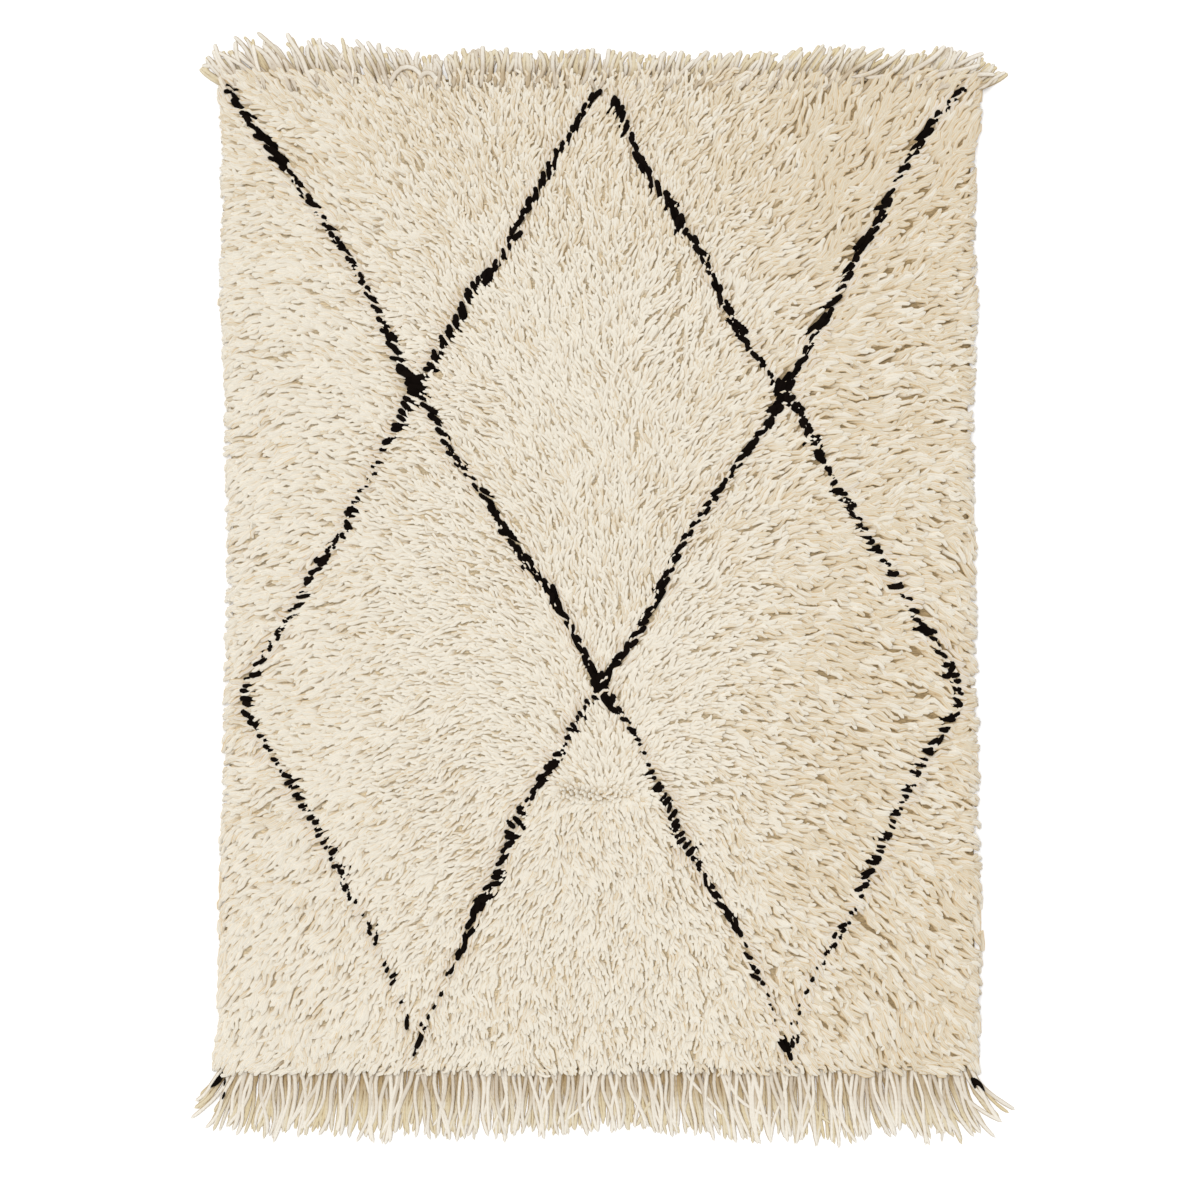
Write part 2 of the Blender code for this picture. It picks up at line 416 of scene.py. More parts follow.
GROUND_TOP = 0.004
MIDDLE_Y = 0.03  # where the far quarters of the pile meet the near ones
SIDE_BEND = 0.024  # radii of the bends where the pile goes over the rug's edges
NEAR_BEND = 0.012
FAR_BEND = 0.014
FLOOR_REST = 0.0012  # heights that the bent pile comes to rest at
FRINGE_REST = 0.0110
STEEPEST_BEND = 1.45  # radians
LOCK_FIELD = 3.0  # width of the square that the locks of wool are laid out in
LOCK_PITCH = 0.026
TIP_PITCH = 0.0027  # between the places where a cream tip may lie
NOISE_CELLS = 97
SHADES = 12  # steps of tone between one yarn and another
MAP_MARGIN = 0.04  # kept clear at both sides of a shade's band in the bake map
TWIST_PITCH = 0.009  # length of yarn in which it turns once
WHITE = (1.0, 1.0, 1.0, 1.0)
WAY_TO_LIGHT = (-0.16, 0.16, 1.0)
CAMERA_X = -0.0020
CAMERA_Y = -0.0168


def smooth(share):
    """Eases a share from 0 to 1."""
    return share * share * (3.0 - 2.0 * share)


def between(value, start, end):
    """0 before the start, 1 past the end, and eased in between."""
    return smooth(np.clip((value - start) / (end - start), 0.0, 1.0))


def varied(pick, count, size, least=0.75):
    """Factors about 1, for sizes that differ from yarn to yarn."""
    return np.clip(1.0 + pick.normal(0.0, size, count), least, 1.3)


def along(table, at, column):
    """A table's column at these places, eased between its rows."""
    rows = np.array(table, float)
    step = np.clip(np.searchsorted(rows[:, 0], at, side="right") - 1, 0, len(rows) - 2)
    part = between(at, rows[step, 0], rows[step + 1, 0])
    return rows[step, column] * (1.0 - part) + rows[step + 1, column] * part


def soft_noise(x, y, size, seed):
    """Smooth noise from -1 to 1, with swells of about this size."""
    grid = np.random.default_rng(seed).uniform(-1.0, 1.0, (NOISE_CELLS, NOISE_CELLS))
    at_x, at_y = x / size + NOISE_CELLS * 50, y / size + NOISE_CELLS * 50
    i, j = np.floor(at_x).astype(int), np.floor(at_y).astype(int)
    part_x, part_y = smooth(at_x - i), smooth(at_y - j)
    i, j = i % NOISE_CELLS, j % NOISE_CELLS
    next_i, next_j = (i + 1) % NOISE_CELLS, (j + 1) % NOISE_CELLS
    near = grid[i, j] * (1.0 - part_x) + grid[next_i, j] * part_x
    far = grid[i, next_j] * (1.0 - part_x) + grid[next_i, next_j] * part_x
    return near * (1.0 - part_y) + far * part_y


def pile_lean(x, y):
    """The way the pile leans at these places, in radians, and how firmly: near 0 where it stands up."""
    rows = np.array(PILE_LEAN, float)
    angles = np.radians(rows[:, 1:])
    places_x, places_y = np.array(LEAN_X), rows[:, 0]
    i = np.clip(np.searchsorted(places_x, x) - 1, 0, len(places_x) - 2)
    j = np.clip(np.searchsorted(places_y, y) - 1, 0, len(places_y) - 2)
    part_x = np.clip((x - places_x[i]) / (places_x[i + 1] - places_x[i]), 0.0, 1.0)
    part_y = np.clip((y - places_y[j]) / (places_y[j + 1] - places_y[j]), 0.0, 1.0)
    way = np.zeros((2, len(x)))
    for step_x, weight_x in ((0, 1.0 - part_x), (1, part_x)):
        for step_y, weight_y in ((0, 1.0 - part_y), (1, part_y)):
            angle = angles[j + step_y, i + step_x]
            way += weight_x * weight_y * np.array([np.cos(angle), np.sin(angle)])
    firm = np.hypot(way[0], way[1])
    for crown_x, crown_y, half_x, half_y, push_x, push_y in CROWNS:
        away = np.array([(x - crown_x) / half_x, (y - crown_y) / half_y])
        far = np.maximum(np.hypot(away[0], away[1]), 1e-3)
        near = np.exp(-(far**2))
        way += away / far * near * np.array([[push_x], [push_y]])
        firm = firm * (1.0 - near)
    swirl = sum(degrees * soft_noise(x, y, size, seed) for degrees, size, seed in SWIRLS)
    return np.arctan2(way[1], way[0]) + np.radians(swirl), firm


def from_parting(x, y):
    """How far each place is from the line where the pile parts."""
    line = np.array(PARTING)
    beside = np.abs(y - np.interp(x, line[:, 0], line[:, 1]))
    past = np.maximum(np.maximum(line[0, 0] - x, x - line[-1, 0]), 0.0)
    return np.hypot(beside, 2.0 * past)


def near_lock(x, y):
    """The number of the lock of wool that each place belongs to."""
    cells = int(LOCK_FIELD / LOCK_PITCH)
    shift = np.random.default_rng(23).uniform(-0.42, 0.42, (cells, cells, 2))
    x, y = x + LOCK_FIELD / 2, y + LOCK_FIELD / 2
    i, j = np.floor(x / LOCK_PITCH).astype(int), np.floor(y / LOCK_PITCH).astype(int)
    nearest = np.full(len(x), LOCK_FIELD)
    number = np.zeros(len(x), int)
    for step_i in (-1, 0, 1):
        for step_j in (-1, 0, 1):
            cell_i, cell_j = (i + step_i) % cells, (j + step_j) % cells
            middle_x = (i + step_i + 0.5 + shift[cell_i, cell_j, 0]) * LOCK_PITCH
            middle_y = (j + step_j + 0.5 + shift[cell_i, cell_j, 1]) * LOCK_PITCH
            far = np.hypot(x - middle_x, y - middle_y)
            closer = far < nearest
            nearest = np.where(closer, far, nearest)
            number = np.where(closer, cell_i * cells + cell_j, number)
    return number


def over_sides(points, loose, loose_near, loose_far):
    """Lets what reaches past the pile's outline bend down over its edge, onto the floor or the fringe."""
    x, y, z = points[..., 0].copy(), points[..., 1].copy(), points[..., 2].copy()
    left, right = along(SIDES, y, 1), along(SIDES, y, 2)
    for edge, inward, axis, radius, rest, loose in (
        (left, 1.0, x, SIDE_BEND, FLOOR_REST, loose),
        (right, -1.0, x, SIDE_BEND, FLOOR_REST, loose),
        (NEAR_EDGE, 1.0, y, NEAR_BEND, FRINGE_REST, loose_near),
        (FAR_EDGE, -1.0, y, FAR_BEND, FRINGE_REST, loose_far),
    ):
        inside = (axis - edge) * inward + loose
        past = np.maximum(radius - inside, 0.0)
        turn = np.minimum(past / radius, STEEPEST_BEND)
        moved = np.where(past > 0.0, radius * (1.0 - np.sin(turn)), inside) - loose
        axis[...] = edge + inward * moved
        z = z * np.cos(turn) + rest * (1.0 - np.cos(turn))
    return np.stack([x, y, z], -1)


def mesh_of(name, points, groups):
    """A mesh from arrays. Each group has faces of one size, with their bake map and their yarn map."""
    mesh = bpy.data.meshes.new(name)
    mesh.vertices.add(len(points))
    mesh.vertices.foreach_set("co", points.astype(np.float32).ravel())
    corners = np.concatenate([faces.ravel() for faces, _, _ in groups])
    sizes = np.concatenate([np.full(len(faces), faces.shape[1]) for faces, _, _ in groups])
    mesh.loops.add(len(corners))
    mesh.loops.foreach_set("vertex_index", corners.astype(np.int32))
    mesh.polygons.add(len(sizes))
    starts = np.concatenate([[0], np.cumsum(sizes)[:-1]])
    mesh.polygons.foreach_set("loop_start", starts.astype(np.int32))
    mesh.update(calc_edges=True)
    for number, title in enumerate(("OFBake", "yarn")):
        layer = mesh.uv_layers.new(name=title)
        flat = np.concatenate([group[1 + number].reshape(-1, 2) for group in groups])
        layer.uv.foreach_set("vector", flat.astype(np.float32).ravel())
    mesh.shade_smooth()
    mesh.set_sharp_from_angle(angle=math.radians(100))
    if mesh.validate():
        raise RuntimeError(f"{name}: the mesh has faults")
    return mesh


def tube_frames(path):
    """For each ring of each path, the way to its left and the way up, square to the path."""
    ahead = np.empty_like(path[:, :-1])
    ahead[:, 0] = path[:, 1] - path[:, 0]
    ahead[:, 1:] = path[:, 2:] - path[:, :-2]
    ahead /= np.maximum(np.linalg.norm(ahead, axis=2, keepdims=True), 1e-9)
    left = np.stack([-ahead[..., 1], ahead[..., 0], np.zeros(ahead.shape[:2])], -1)
    left /= np.maximum(np.linalg.norm(left, axis=2, keepdims=True), 1e-9)
    return left, np.cross(ahead, left)


def tubes(name, path, half_width, height, section, tone):
    """Joins many tapered yarns into one mesh. Each path's last point is the yarn's tip."""
    count, rings, sides = len(path), path.shape[1] - 1, len(section)
    left, up = tube_frames(path)
    outline = []
    for across, high in section:
        shift = -across * half_width[..., None] * left + high * height[..., None] * up
        outline.append(path[:, :-1] + shift)
    points = np.concatenate([np.stack(outline, 2).reshape(count, -1, 3), path[:, -1:]], 1)

    steps = np.linalg.norm(np.diff(path, axis=1), axis=2)
    run = np.concatenate([np.zeros((count, 1)), np.cumsum(steps, 1)], 1)
    share = run / run[:, -1:]
    shade = np.clip(np.floor(tone * SHADES), 0, SHADES - 1)[:, None]
    beside = np.array([across for across, _ in section + section[:1]]) * 0.5 + 0.5
    over = (shade + MAP_MARGIN + (1.0 - 2.0 * MAP_MARGIN) * beside) / SHADES
    first = np.arange(count)[:, None] * (rings * sides + 1)

    def faces(at_ring, at_side, corner):
        """Faces with both their maps, from the ring, the side and the vertex of each corner."""
        lower, upper = np.floor(at_side).astype(int), np.ceil(at_side).astype(int)
        across = (over[:, lower] + over[:, upper]) / 2
        around = np.broadcast_to(at_side / sides, across.shape)
        bake_map = np.stack([share[:, at_ring], across], -1)
        yarn_map = np.stack([run[:, at_ring], around], -1)
        return (first[..., None] + corner).reshape(-1, corner.shape[1]), bake_map, yarn_map

    ring, side = (grid.ravel() for grid in np.meshgrid(np.arange(rings - 1), np.arange(sides), indexing="ij"))
    at_ring = np.stack([ring, ring, ring + 1, ring + 1], -1)
    at_side = np.stack([side, side + 1, side + 1, side], -1)
    quads = faces(at_ring, at_side, at_ring * sides + at_side % sides)

    side = np.arange(sides)
    at_ring = np.broadcast_to([rings - 1, rings - 1, rings], (sides, 3))
    corner = at_ring * sides + np.stack([side, (side + 1) % sides, 0 * side], -1)
    ends = faces(at_ring, np.stack([side, side + 1, side + 0.5], -1), corner)

    # The face that closes a yarn's root lies as a small ring at the start of its shade's band
    around = 2 * np.pi * side[::-1] / sides
    cap_u = np.broadcast_to(0.004 + 0.003 * np.cos(around), (count, sides))
    cap_bake = np.stack([cap_u, (shade + 0.5 + 0.3 * np.sin(around)) / SHADES], -1)
    cap_yarn = np.stack([cap_u, np.broadcast_to(side / sides, cap_u.shape)], -1)
    caps = (first + side[::-1], cap_bake, cap_yarn)
    return mesh_of(name, points.reshape(-1, 3), [quads, ends, caps])


def add_piece(context, name, mesh, material, nodes=()):
    """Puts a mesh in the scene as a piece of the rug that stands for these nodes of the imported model."""
    if not mesh.polygons:
        raise RuntimeError(f"{name} has no faces")
    mesh.materials.append(material)
    piece = bpy.data.objects.new(name, mesh)
    context.scene.collection.objects.link(piece)
    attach(piece, BODY)
    if nodes:
        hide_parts(*nodes)
    return piece


def scaled(colour, factor):
    """A colour made lighter or darker, by one factor or by one for each channel."""
    return tuple(np.multiply(colour[:3], factor).tolist()) + (1.0,)


def new_material(name, gloss):
    """A new material with its main shader node, and how strongly it reflects light."""
    material = bpy.data.materials.new(name)
    material.use_nodes = True
    shader = material.node_tree.nodes["Principled BSDF"]
    shader.inputs["Specular IOR Level"].default_value = gloss
    return material, shader


def feed(node, inputs):
    """Sets each of these inputs of a node to a value, or links it to another node's output."""
    for key, value in inputs.items():
        if isinstance(value, bpy.types.NodeSocket):
            node.id_data.links.new(value, node.inputs[key])
        else:
            node.inputs[key].default_value = value


def add_node(shader, kind, output, place, inputs=None, **settings):
    """Adds a node to a shader's material, and gives the one of its outputs that is used."""
    node = shader.id_data.nodes.new("ShaderNode" + kind)
    node.location = place
    for key, value in settings.items():
        setattr(node, key, value)
    feed(node, inputs or {})
    return node.outputs[output]


def add_sum(shader, operation, place, *values):
    """A sum of these values, or another operation on them."""
    return add_node(shader, "Math", "Value", place, dict(enumerate(values)), operation=operation)


def add_vector_sum(shader, operation, place, *values, output="Vector"):
    """The same for vectors, which gives a vector or one value."""
    return add_node(shader, "VectorMath", output, place, dict(enumerate(values)), operation=operation)


def add_span(shader, place, value, low, high, start=0.0, end=1.0, **settings):
    """A value between start and end, turned into one between low and high."""
    inputs = {"Value": value, "From Min": start, "From Max": end, "To Min": low, "To Max": high}
    return add_node(shader, "MapRange", "Result", place, inputs, **settings)


def add_soft_span(*span):
    """The same, eased at both ends."""
    return add_span(*span, interpolation_type="SMOOTHSTEP")


def add_ramp(shader, place, value, stops):
    """A colour for each value. Each stop is a place with a colour, or with one number for a grey."""
    colour = add_node(shader, "ValToRGB", "Color", place, {"Fac": value})
    elements = colour.node.color_ramp.elements
    while len(elements) > 1:
        elements.remove(elements[-1])
    for number, (spot, tint) in enumerate(stops):
        stop = elements.new(spot) if number else elements[0]
        stop.position = spot
        stop.color = tint if isinstance(tint, tuple) else (tint, tint, tint, 1.0)
    return colour


def add_mix(shader, place, factor, first, second, **settings):
    """Mixes two colours by a factor, or blends them in another way that the settings say."""
    inputs = {"Factor": factor, "A": first, "B": second}
    return add_node(shader, "Mix", "Result", place, inputs, data_type="RGBA", **settings)


def add_surface(shader, colour, roughness, height, strength, distance):
    """Gives a shader its colour and roughness, and bumps of this height."""
    bump = {"Height": height, "Strength": strength, "Distance": distance}
    normal = add_node(shader, "Bump", "Normal", (-400, -400), bump)
    feed(shader, {"Base Color": colour, "Roughness": roughness, "Normal": normal})


def wool_material(
    name,
    tones,
    root,
    root_reach,
    edge,
    rim,
    spared=0.0,
    dull_edge=1.0,
    plies=0.0,
    twist=0.0,
    bump=0.5,
    gloss=0.15,
    sheen=0.08,
):
    """Wool yarn. tones are the ramp's stops from the dullest yarn to the brightest. root is the colour of the
    painted
    shade deep in the pile: it fades out at root_reach of the yarn's length, and is painted on the yarn's sides
    as shade by edge, as wide as rim. spared is how far the brightest yarns are spared that painted shade, as
    if lit at the root, and dull_edge how much more it falls on the dullest. plies is how dark the painted
    shade is in the line between two plies, and twist how deep their turns are."""
    material, shader = new_material(name, gloss)
    feed(shader, {"Sheen Weight": sheen, "Sheen Roughness": 0.6})

    strand = add_node(shader, "UVMap", "UV", (-1800, 200), uv_map="OFBake")
    length = add_node(shader, "SeparateXYZ", "X", (-1640, 200), {"Vector": strand})
    steps = add_sum(shader, "MULTIPLY", (-1480, 120), length.node.outputs["Y"], SHADES)
    whole = add_sum(shader, "FLOOR", (-1320, 320), steps)
    shade = add_sum(shader, "DIVIDE", (-1160, 320), whole, SHADES - 1)
    wool = add_ramp(shader, (-1000, 320), shade, tones)

    # Painted shade: the yarn darkens towards its root, deep in the pile, and the brightest yarns are spared
    # some of it as if lit there
    depths = [(0.0, 0.0), (root_reach * 0.45, 0.35), (root_reach, 0.88), (1.0, 1.0)]
    depth = add_ramp(shader, (-1000, 60), length, depths)
    spare = add_sum(shader, "MULTIPLY", (-1000, -140), shade, spared)
    lit_root = add_sum(shader, "MAXIMUM", (-880, 60), depth, spare)

    # Painted shade along each yarn's sides and in the line between its two plies, harder on the dullest yarns
    across = add_sum(shader, "FRACT", (-1320, 0), steps)
    lit = 1.0 - edge
    rims = [(0.04, lit), (0.04 + rim, 1.0), (0.43, 1.0), (0.50, 1.0 - plies)]
    rims += [(0.57, 1.0), (0.90 - 1.2 * rim, 1.0), (0.96, lit * 0.9)]
    sides = add_ramp(shader, (-1160, -60), across, rims)
    harder = add_soft_span(shader, (-1000, -320), shade, dull_edge, 1.0, 0.30, 0.56)
    side_shade = add_sum(shader, "POWER", (-880, -60), sides, harder)
    unshaded = add_sum(shader, "MULTIPLY", (-760, 60), lit_root, side_shade)
    shaded = add_mix(shader, (-640, 260), unshaded, root, wool)

    place = add_node(shader, "TexCoord", "Object", (-1400, -260))
    fibre_inputs = {"Vector": place, "Scale": 420.0, "Detail": 3.0}
    fibre = add_node(shader, "TexNoise", "Fac", (-1000, -220), fibre_inputs)
    speck = add_span(shader, (-800, -120), fibre, 0.93, 1.05)
    flecks = {0: shaded, "Scale": speck}
    flecked = add_node(shader, "VectorMath", "Vector", (-400, 260), flecks, operation="SCALE")
    dull = add_span(shader, (-800, -380), fibre, 0.84, 1.0)

    yarn = add_node(shader, "UVMap", "UV", (-1400, -560), uv_map="yarn")
    pace = (2 * math.pi / TWIST_PITCH, 4 * math.pi, 0.0)
    turns = add_vector_sum(shader, "DOT_PRODUCT", (-1220, -560), yarn, pace, output="Value")
    groove = add_sum(shader, "SINE", (-1000, -560), turns)
    relief = add_sum(shader, "MULTIPLY_ADD", (-640, -480), groove, twist, fibre)
    add_surface(shader, flecked, dull, relief, bump, 0.0008)
    return material


def cream_tones(colours):
    """Stops from the dullest to the brightest cream. The greyish cream beside the black is at the low end."""
    warm = scaled(colours.cream, (0.98, 0.94, 0.87))
    return [
        (0.0, scaled(colours.grey_cream, 1.0)),
        (0.1, scaled(colours.grey_cream, 1.06)),
        (0.17, scaled(warm, 0.905)),
        (0.45, scaled(colours.cream, 0.98)),
        (1.0, scaled(colours.cream, 1.05)),
    ]


def pile_paths(tip, turn, bend, wave, reach, rise):
    """Centre lines from root to tip, found by walking back from each tip against the pile's lean."""
    rings = np.array(STRAND_RINGS)
    wave_pace, sunk = 9.0, 0.001
    at, flat = tip, [tip]
    for outer, inner in zip(rings[::-1], rings[-2::-1]):
        share = (outer[0] + inner[0]) / 2
        way = pile_lean(at[:, 0], at[:, 1])[0] + turn
        way = way + bend * (share - 0.5) + wave * np.sin(wave_pace * share)
        step = (outer[0] - inner[0]) * reach
        at = at - np.stack([np.cos(way), np.sin(way)], 1) * step[:, None]
        flat.append(at)
    high = GROUND_TOP - sunk + rise[:, None] * rings[:, 1]
    return np.concatenate([np.stack(flat[::-1], 1), high[..., None]], -1)


def strand_sizes(width, column, roundness):
    """Half widths and heights of strands at their rings, from this column of STRAND_RINGS."""
    half = width[:, None] / 2 * np.array(STRAND_RINGS)[:-1, column]
    return half, half * roundness


def tree_of(places):
    """A search tree over flat places."""
    tree = KDTree(len(places))
    for number, (x, y) in enumerate(places.tolist()):
        tree.insert((x, y, 0.0), number)
    tree.balance()
    return tree


def spaced(places, way, length, width, sure):
    """Picks tips so that each has its own patch of pile, long and narrow along its lean. The first ones, as
    many as sure says, are all kept."""
    tree = tree_of(places)
    free = [True] * len(places)
    cosines, sines = np.cos(way).tolist(), np.sin(way).tolist()
    lengths, widths = length.tolist(), width.tolist()
    kept = []
    for number, (x, y) in enumerate(places.tolist()):
        if not free[number]:
            continue
        kept.append(number)
        c, s, long, wide = cosines[number], sines[number], lengths[number], widths[number]
        for spot, other, _ in tree.find_range((x, y, 0.0), long):
            if other > number and other >= sure:
                right, up = spot.x - x, spot.y - y
                ahead, aside = (right * c + up * s) / long, (up * c - right * s) / wide
                if ahead * ahead + aside * aside < 1.0:
                    free[other] = False
    return np.array(kept)


def line_knots(rows, step, pick, seed):
    """The black knots of one line: place, weight, the way they point, how nearly that follows the line."""
    leg = np.diff(rows[:, :2], axis=0)
    run = np.concatenate([[0.0], np.cumsum(np.hypot(*leg.T))])
    at = np.arange(0.3, run[-1] / step) * step
    at = at + pick.uniform(-0.12, 0.12, len(at)) * step
    x, y, weight = (np.interp(at, run, rows[:, column]) for column in range(3))
    way = np.interp(at, run, np.unwrap(np.radians(rows[:, 3]), period=np.pi))
    leg = leg[np.clip(np.searchsorted(run, at) - 1, 0, len(leg) - 1)]
    lengthwise = np.cos(way - np.arctan2(leg[:, 1], leg[:, 0])) ** 2
    clumps = soft_noise(at, at * 0.0, 0.012, seed)
    return x, y, np.clip(weight * (1.0 + 0.45 * clumps), 0.05, 2.4), way, lengthwise


def black_marks(sizes):
    """Every black strand of the lattice: tip x, tip y, the way it points, how much of it shows, its width."""
    pick = np.random.default_rng(31)
    heaviest, strand_gap = 1.15, 0.0070
    marks = []
    for number, line in enumerate(LATTICE):
        x, y, weight, way, lengthwise = line_knots(np.array(line), sizes.lattice_step, pick, 32 + number)

        # A heavy knot shows up to three strands side by side, and a light one may show none
        wanted = np.floor(weight * (1.0 + 0.3 * lengthwise) + pick.uniform(0.0, 0.75, len(x)))
        wanted = np.clip(wanted, 1, 3).astype(int)
        wanted = np.where(weight < pick.uniform(0.0, 0.45, len(x)), 0, wanted)
        which = np.repeat(np.arange(len(x)), wanted)
        order = np.arange(len(which)) - np.searchsorted(which, which)
        x, y, wanted, lengthwise = x[which], y[which], wanted[which], lengthwise[which]
        weight = np.minimum(weight[which], heaviest)

        # Each strand points with the pile's lean, not against it
        way = way[which] + np.radians(pick.normal(0.0, 12.0, len(which)))
        way = way + np.pi * np.round((pile_lean(x, y)[0] - way) / np.pi)
        show = (0.0213 + 0.0016 * lengthwise) * weight**0.75 * pick.uniform(0.75, 1.25, len(which))
        width = sizes.strand_width * 1.74 * weight**0.35 * varied(pick, len(x), 0.12)
        stagger = 0.0012 + 0.0018 * lengthwise
        aside = (order - (wanted - 1) / 2) * strand_gap + np.where(which % 2, stagger, -stagger)
        ahead = show * 0.45 + pick.normal(0.0, 0.0018, len(which))
        x = x + np.cos(way) * ahead - np.sin(way) * aside
        y = y + np.sin(way) * ahead + np.cos(way) * aside
        marks.append(np.stack([x, y, way, show, width], 1))
    corners = np.array(VERTEX_STRANDS)
    corners[:, 2] = np.radians(corners[:, 2])
    return np.concatenate(marks + [corners])


def plumper(x):
    """0 in the middle of the rug, where the pile's yarn looks fine, and 1 by its sides, where it is plump."""
    middle = -0.05
    return between(np.abs(x - middle), 0.22, 0.52)


def rightward(x):
    """0 in the left half of the rug and 1 by its right side, where the pile is thicker, duller, less even."""
    return between(x, 0.1, 0.5)


def cream_tips(sizes, black):
    """Tips of the cream strands: all over the pile, and in none of the patches that the black ones take."""
    pick = np.random.default_rng(21)
    over_side, over_near, over_far, parting = 0.014, 0.006, 0.014, 0.0020
    steps_x, steps_y = np.arange(-270, 271), np.arange(-343, 364)
    i, j = np.meshgrid(steps_x, steps_y, indexing="ij")
    places = np.stack([i.ravel(), j.ravel()], 1) * TIP_PITCH
    places = places + pick.uniform(-0.5, 0.5, places.shape) * TIP_PITCH
    x, y = places.T
    inside = (x > along(SIDES, y, 1) - over_side) & (x < along(SIDES, y, 2) + over_side)
    inside &= (y > NEAR_EDGE - over_near) & (y < FAR_EDGE + over_far)
    inside &= from_parting(x, y) > parting
    places = pick.permutation(places[inside])
    x, y = places.T
    way, firm = pile_lean(x, y)
    longer = 1.0 + 0.50 * plumper(x) + 0.55 * rightward(x) + 0.25 * soft_noise(x, y, 0.07, 28)
    show = sizes.strand_show * longer * (1.0 + pick.normal(0.0, 0.14, len(x)))
    show = np.clip(show * np.clip(0.55 + firm, 0.55, 1.0), 0.010, 0.040)
    wider = 1.0 + 0.10 * plumper(x) + 0.08 * rightward(x) - 0.12 * between(-y, 0.80, 0.86)
    black_wide = np.minimum(black[:, 4] * 0.46, 0.0044)
    wide = np.concatenate([black_wide, sizes.strand_spacing * wider])
    places, ways, shows = (
        np.concatenate(pair)
        for pair in ((black[:, :2], places), (black[:, 2], way), (black[:, 3], show))
    )
    kept = spaced(places, ways, shows, wide, len(black))
    return places[kept[len(black):]]


def strand_ways(tip, lean, lock, lock_turn, pick):
    """Where the cream tips lie, and how their strands turn off the lean and bend. Strands of one lock are
    drawn together and turn alike, and a few strands curl."""
    drawn_in, curled_share = 0.12, 0.04
    x, y = tip.T
    count = len(tip)
    middle_x, middle_y = (np.bincount(lock, places)[lock] / np.bincount(lock)[lock] for places in tip.T)
    aside = (y - middle_y) * np.cos(lean) - (x - middle_x) * np.sin(lean)
    tip = tip - drawn_in * aside[:, None] * np.stack([-np.sin(lean), np.cos(lean)], 1)
    calm = 1.0 - 0.35 * plumper(x) - 0.35 * between(-y, 0.74, 0.84)
    turn = np.radians(7.0 * lock_turn + 7.0 * calm * pick.normal(0.0, 1.0, count)) - 12.0 * aside
    bend = np.radians(pick.normal(0.0, 26.0, count)) * calm
    curled = pick.random(count) < curled_share
    curl = np.radians(pick.choice([-1, 1], count) * pick.uniform(90, 160, count))
    return tip, turn, np.where(curled, curl, bend)


def strand_tones(x, y, shown, black, lock_tone, pick):
    """Tones of the cream strands: duller to the right and at the far end, greyish beside the black ones."""
    grey_reach, dullest, brightest = 0.018, 0.19, 0.97
    count, right = len(x), rightward(x)
    tone = 0.58 + 0.14 * (1.0 + 0.4 * right) * pick.normal(0.0, 1.0, count) + 0.04 * lock_tone
    tone += 0.07 * soft_noise(x, y, 0.11, 26) - 0.26 * right
    tone += 0.08 * right * soft_noise(x, y, 0.045, 31)
    tone = np.clip(tone - 0.18 * between(y, 0.45, 0.90), dullest, brightest)
    tree = tree_of(black[:, :2])
    from_black = np.array([tree.find((*place, 0.0))[2] for place in shown.tolist()])
    greyed = pick.random(count) < np.clip(1.2 - from_black / grey_reach, 0.0, 0.85)
    return np.where(greyed, pick.uniform(0.02, 0.15, count), tone)


def cream_strands(sizes):
    """Everything that tubes() needs for the cream pile."""
    pick = np.random.default_rng(22)
    black = black_marks(sizes)
    tip = cream_tips(sizes, black)
    x, y = tip.T
    count = len(tip)
    plump, right = plumper(x), rightward(x)
    lean, firm = pile_lean(x, y)
    lock = near_lock(x, y)
    per_lock = np.random.default_rng(24).normal(0.0, 1.0, (lock.max() + 1, 4))
    lock_turn, lock_loose, lock_rise, lock_tone = per_lock[lock].T
    tip, turn, bend = strand_ways(tip, lean, lock, lock_turn, pick)

    shortest, lowest, highest = 0.009, 0.012, sizes.pile_rise + 0.0035
    reach = sizes.strand_reach * varied(pick, count, 0.10, 0.7)
    reach = reach * np.clip(firm * 1.3, 0.3, 1.0) * (1.0 + 0.15 * plump + 0.25 * right)
    reach = np.minimum(reach, np.maximum(from_parting(x, y) + 0.0015, shortest))
    rise = sizes.pile_rise + 0.0009 * lock_rise
    rise += pick.normal(0.0, 0.0005, count) * (1.0 + 1.6 * right)
    rise += 0.0009 * soft_noise(x, y, 0.09, 25)
    wave = np.radians(pick.normal(0.0, 16.0, count))
    path = pile_paths(tip, turn, bend, wave, reach, np.clip(rise, lowest, highest))
    width = sizes.strand_width * varied(pick, count, 0.09)
    width = width * (1.0 + 0.45 * (1.0 - np.clip(firm, 0.0, 1.0))) * (1.0 + 0.38 * plump + 0.10 * right)
    tone = strand_tones(x, y, path[:, 2, :2], black, lock_tone, pick)

    # The outermost strands hang over the edge unevenly, most of all at the far end
    loose = 0.0022 * lock_loose + pick.normal(0.0, 0.0010, count)
    ragged = pick.normal(0.0, 0.0045, count)
    loose_near = 1.4 * loose + 0.002 + 1.3 * ragged + 0.007 * soft_noise(x, y, 0.024, 27)
    loose_far = 2.0 * loose + 0.009 + 2.0 * ragged + 0.010 * soft_noise(x, y, 0.016, 27)
    return over_sides(path, loose[:, None], loose_near[:, None], loose_far[:, None]), width, tone


def black_strands(sizes):
    """Everything that tubes() needs for the black strands of the lattice."""
    pick = np.random.default_rng(41)
    x, y, way, show, width = black_marks(sizes).T
    count = len(x)
    turn, bend = way - pile_lean(x, y)[0], np.radians(pick.normal(0.0, 14.0, count))
    reach = np.clip(1.9 * show, 0.017, 0.040)
    rise = sizes.pile_rise + 0.0026 + pick.normal(0.0, 0.0006, count)
    path = pile_paths(np.stack([x, y], 1), turn, bend, 0.0 * turn, reach, rise)
    path = over_sides(path, 0.001, 0.004, 0.010)
    tone = np.clip(0.5 + pick.normal(0.0, 0.2, count), 0.05, 0.95)
    return path, width, tone


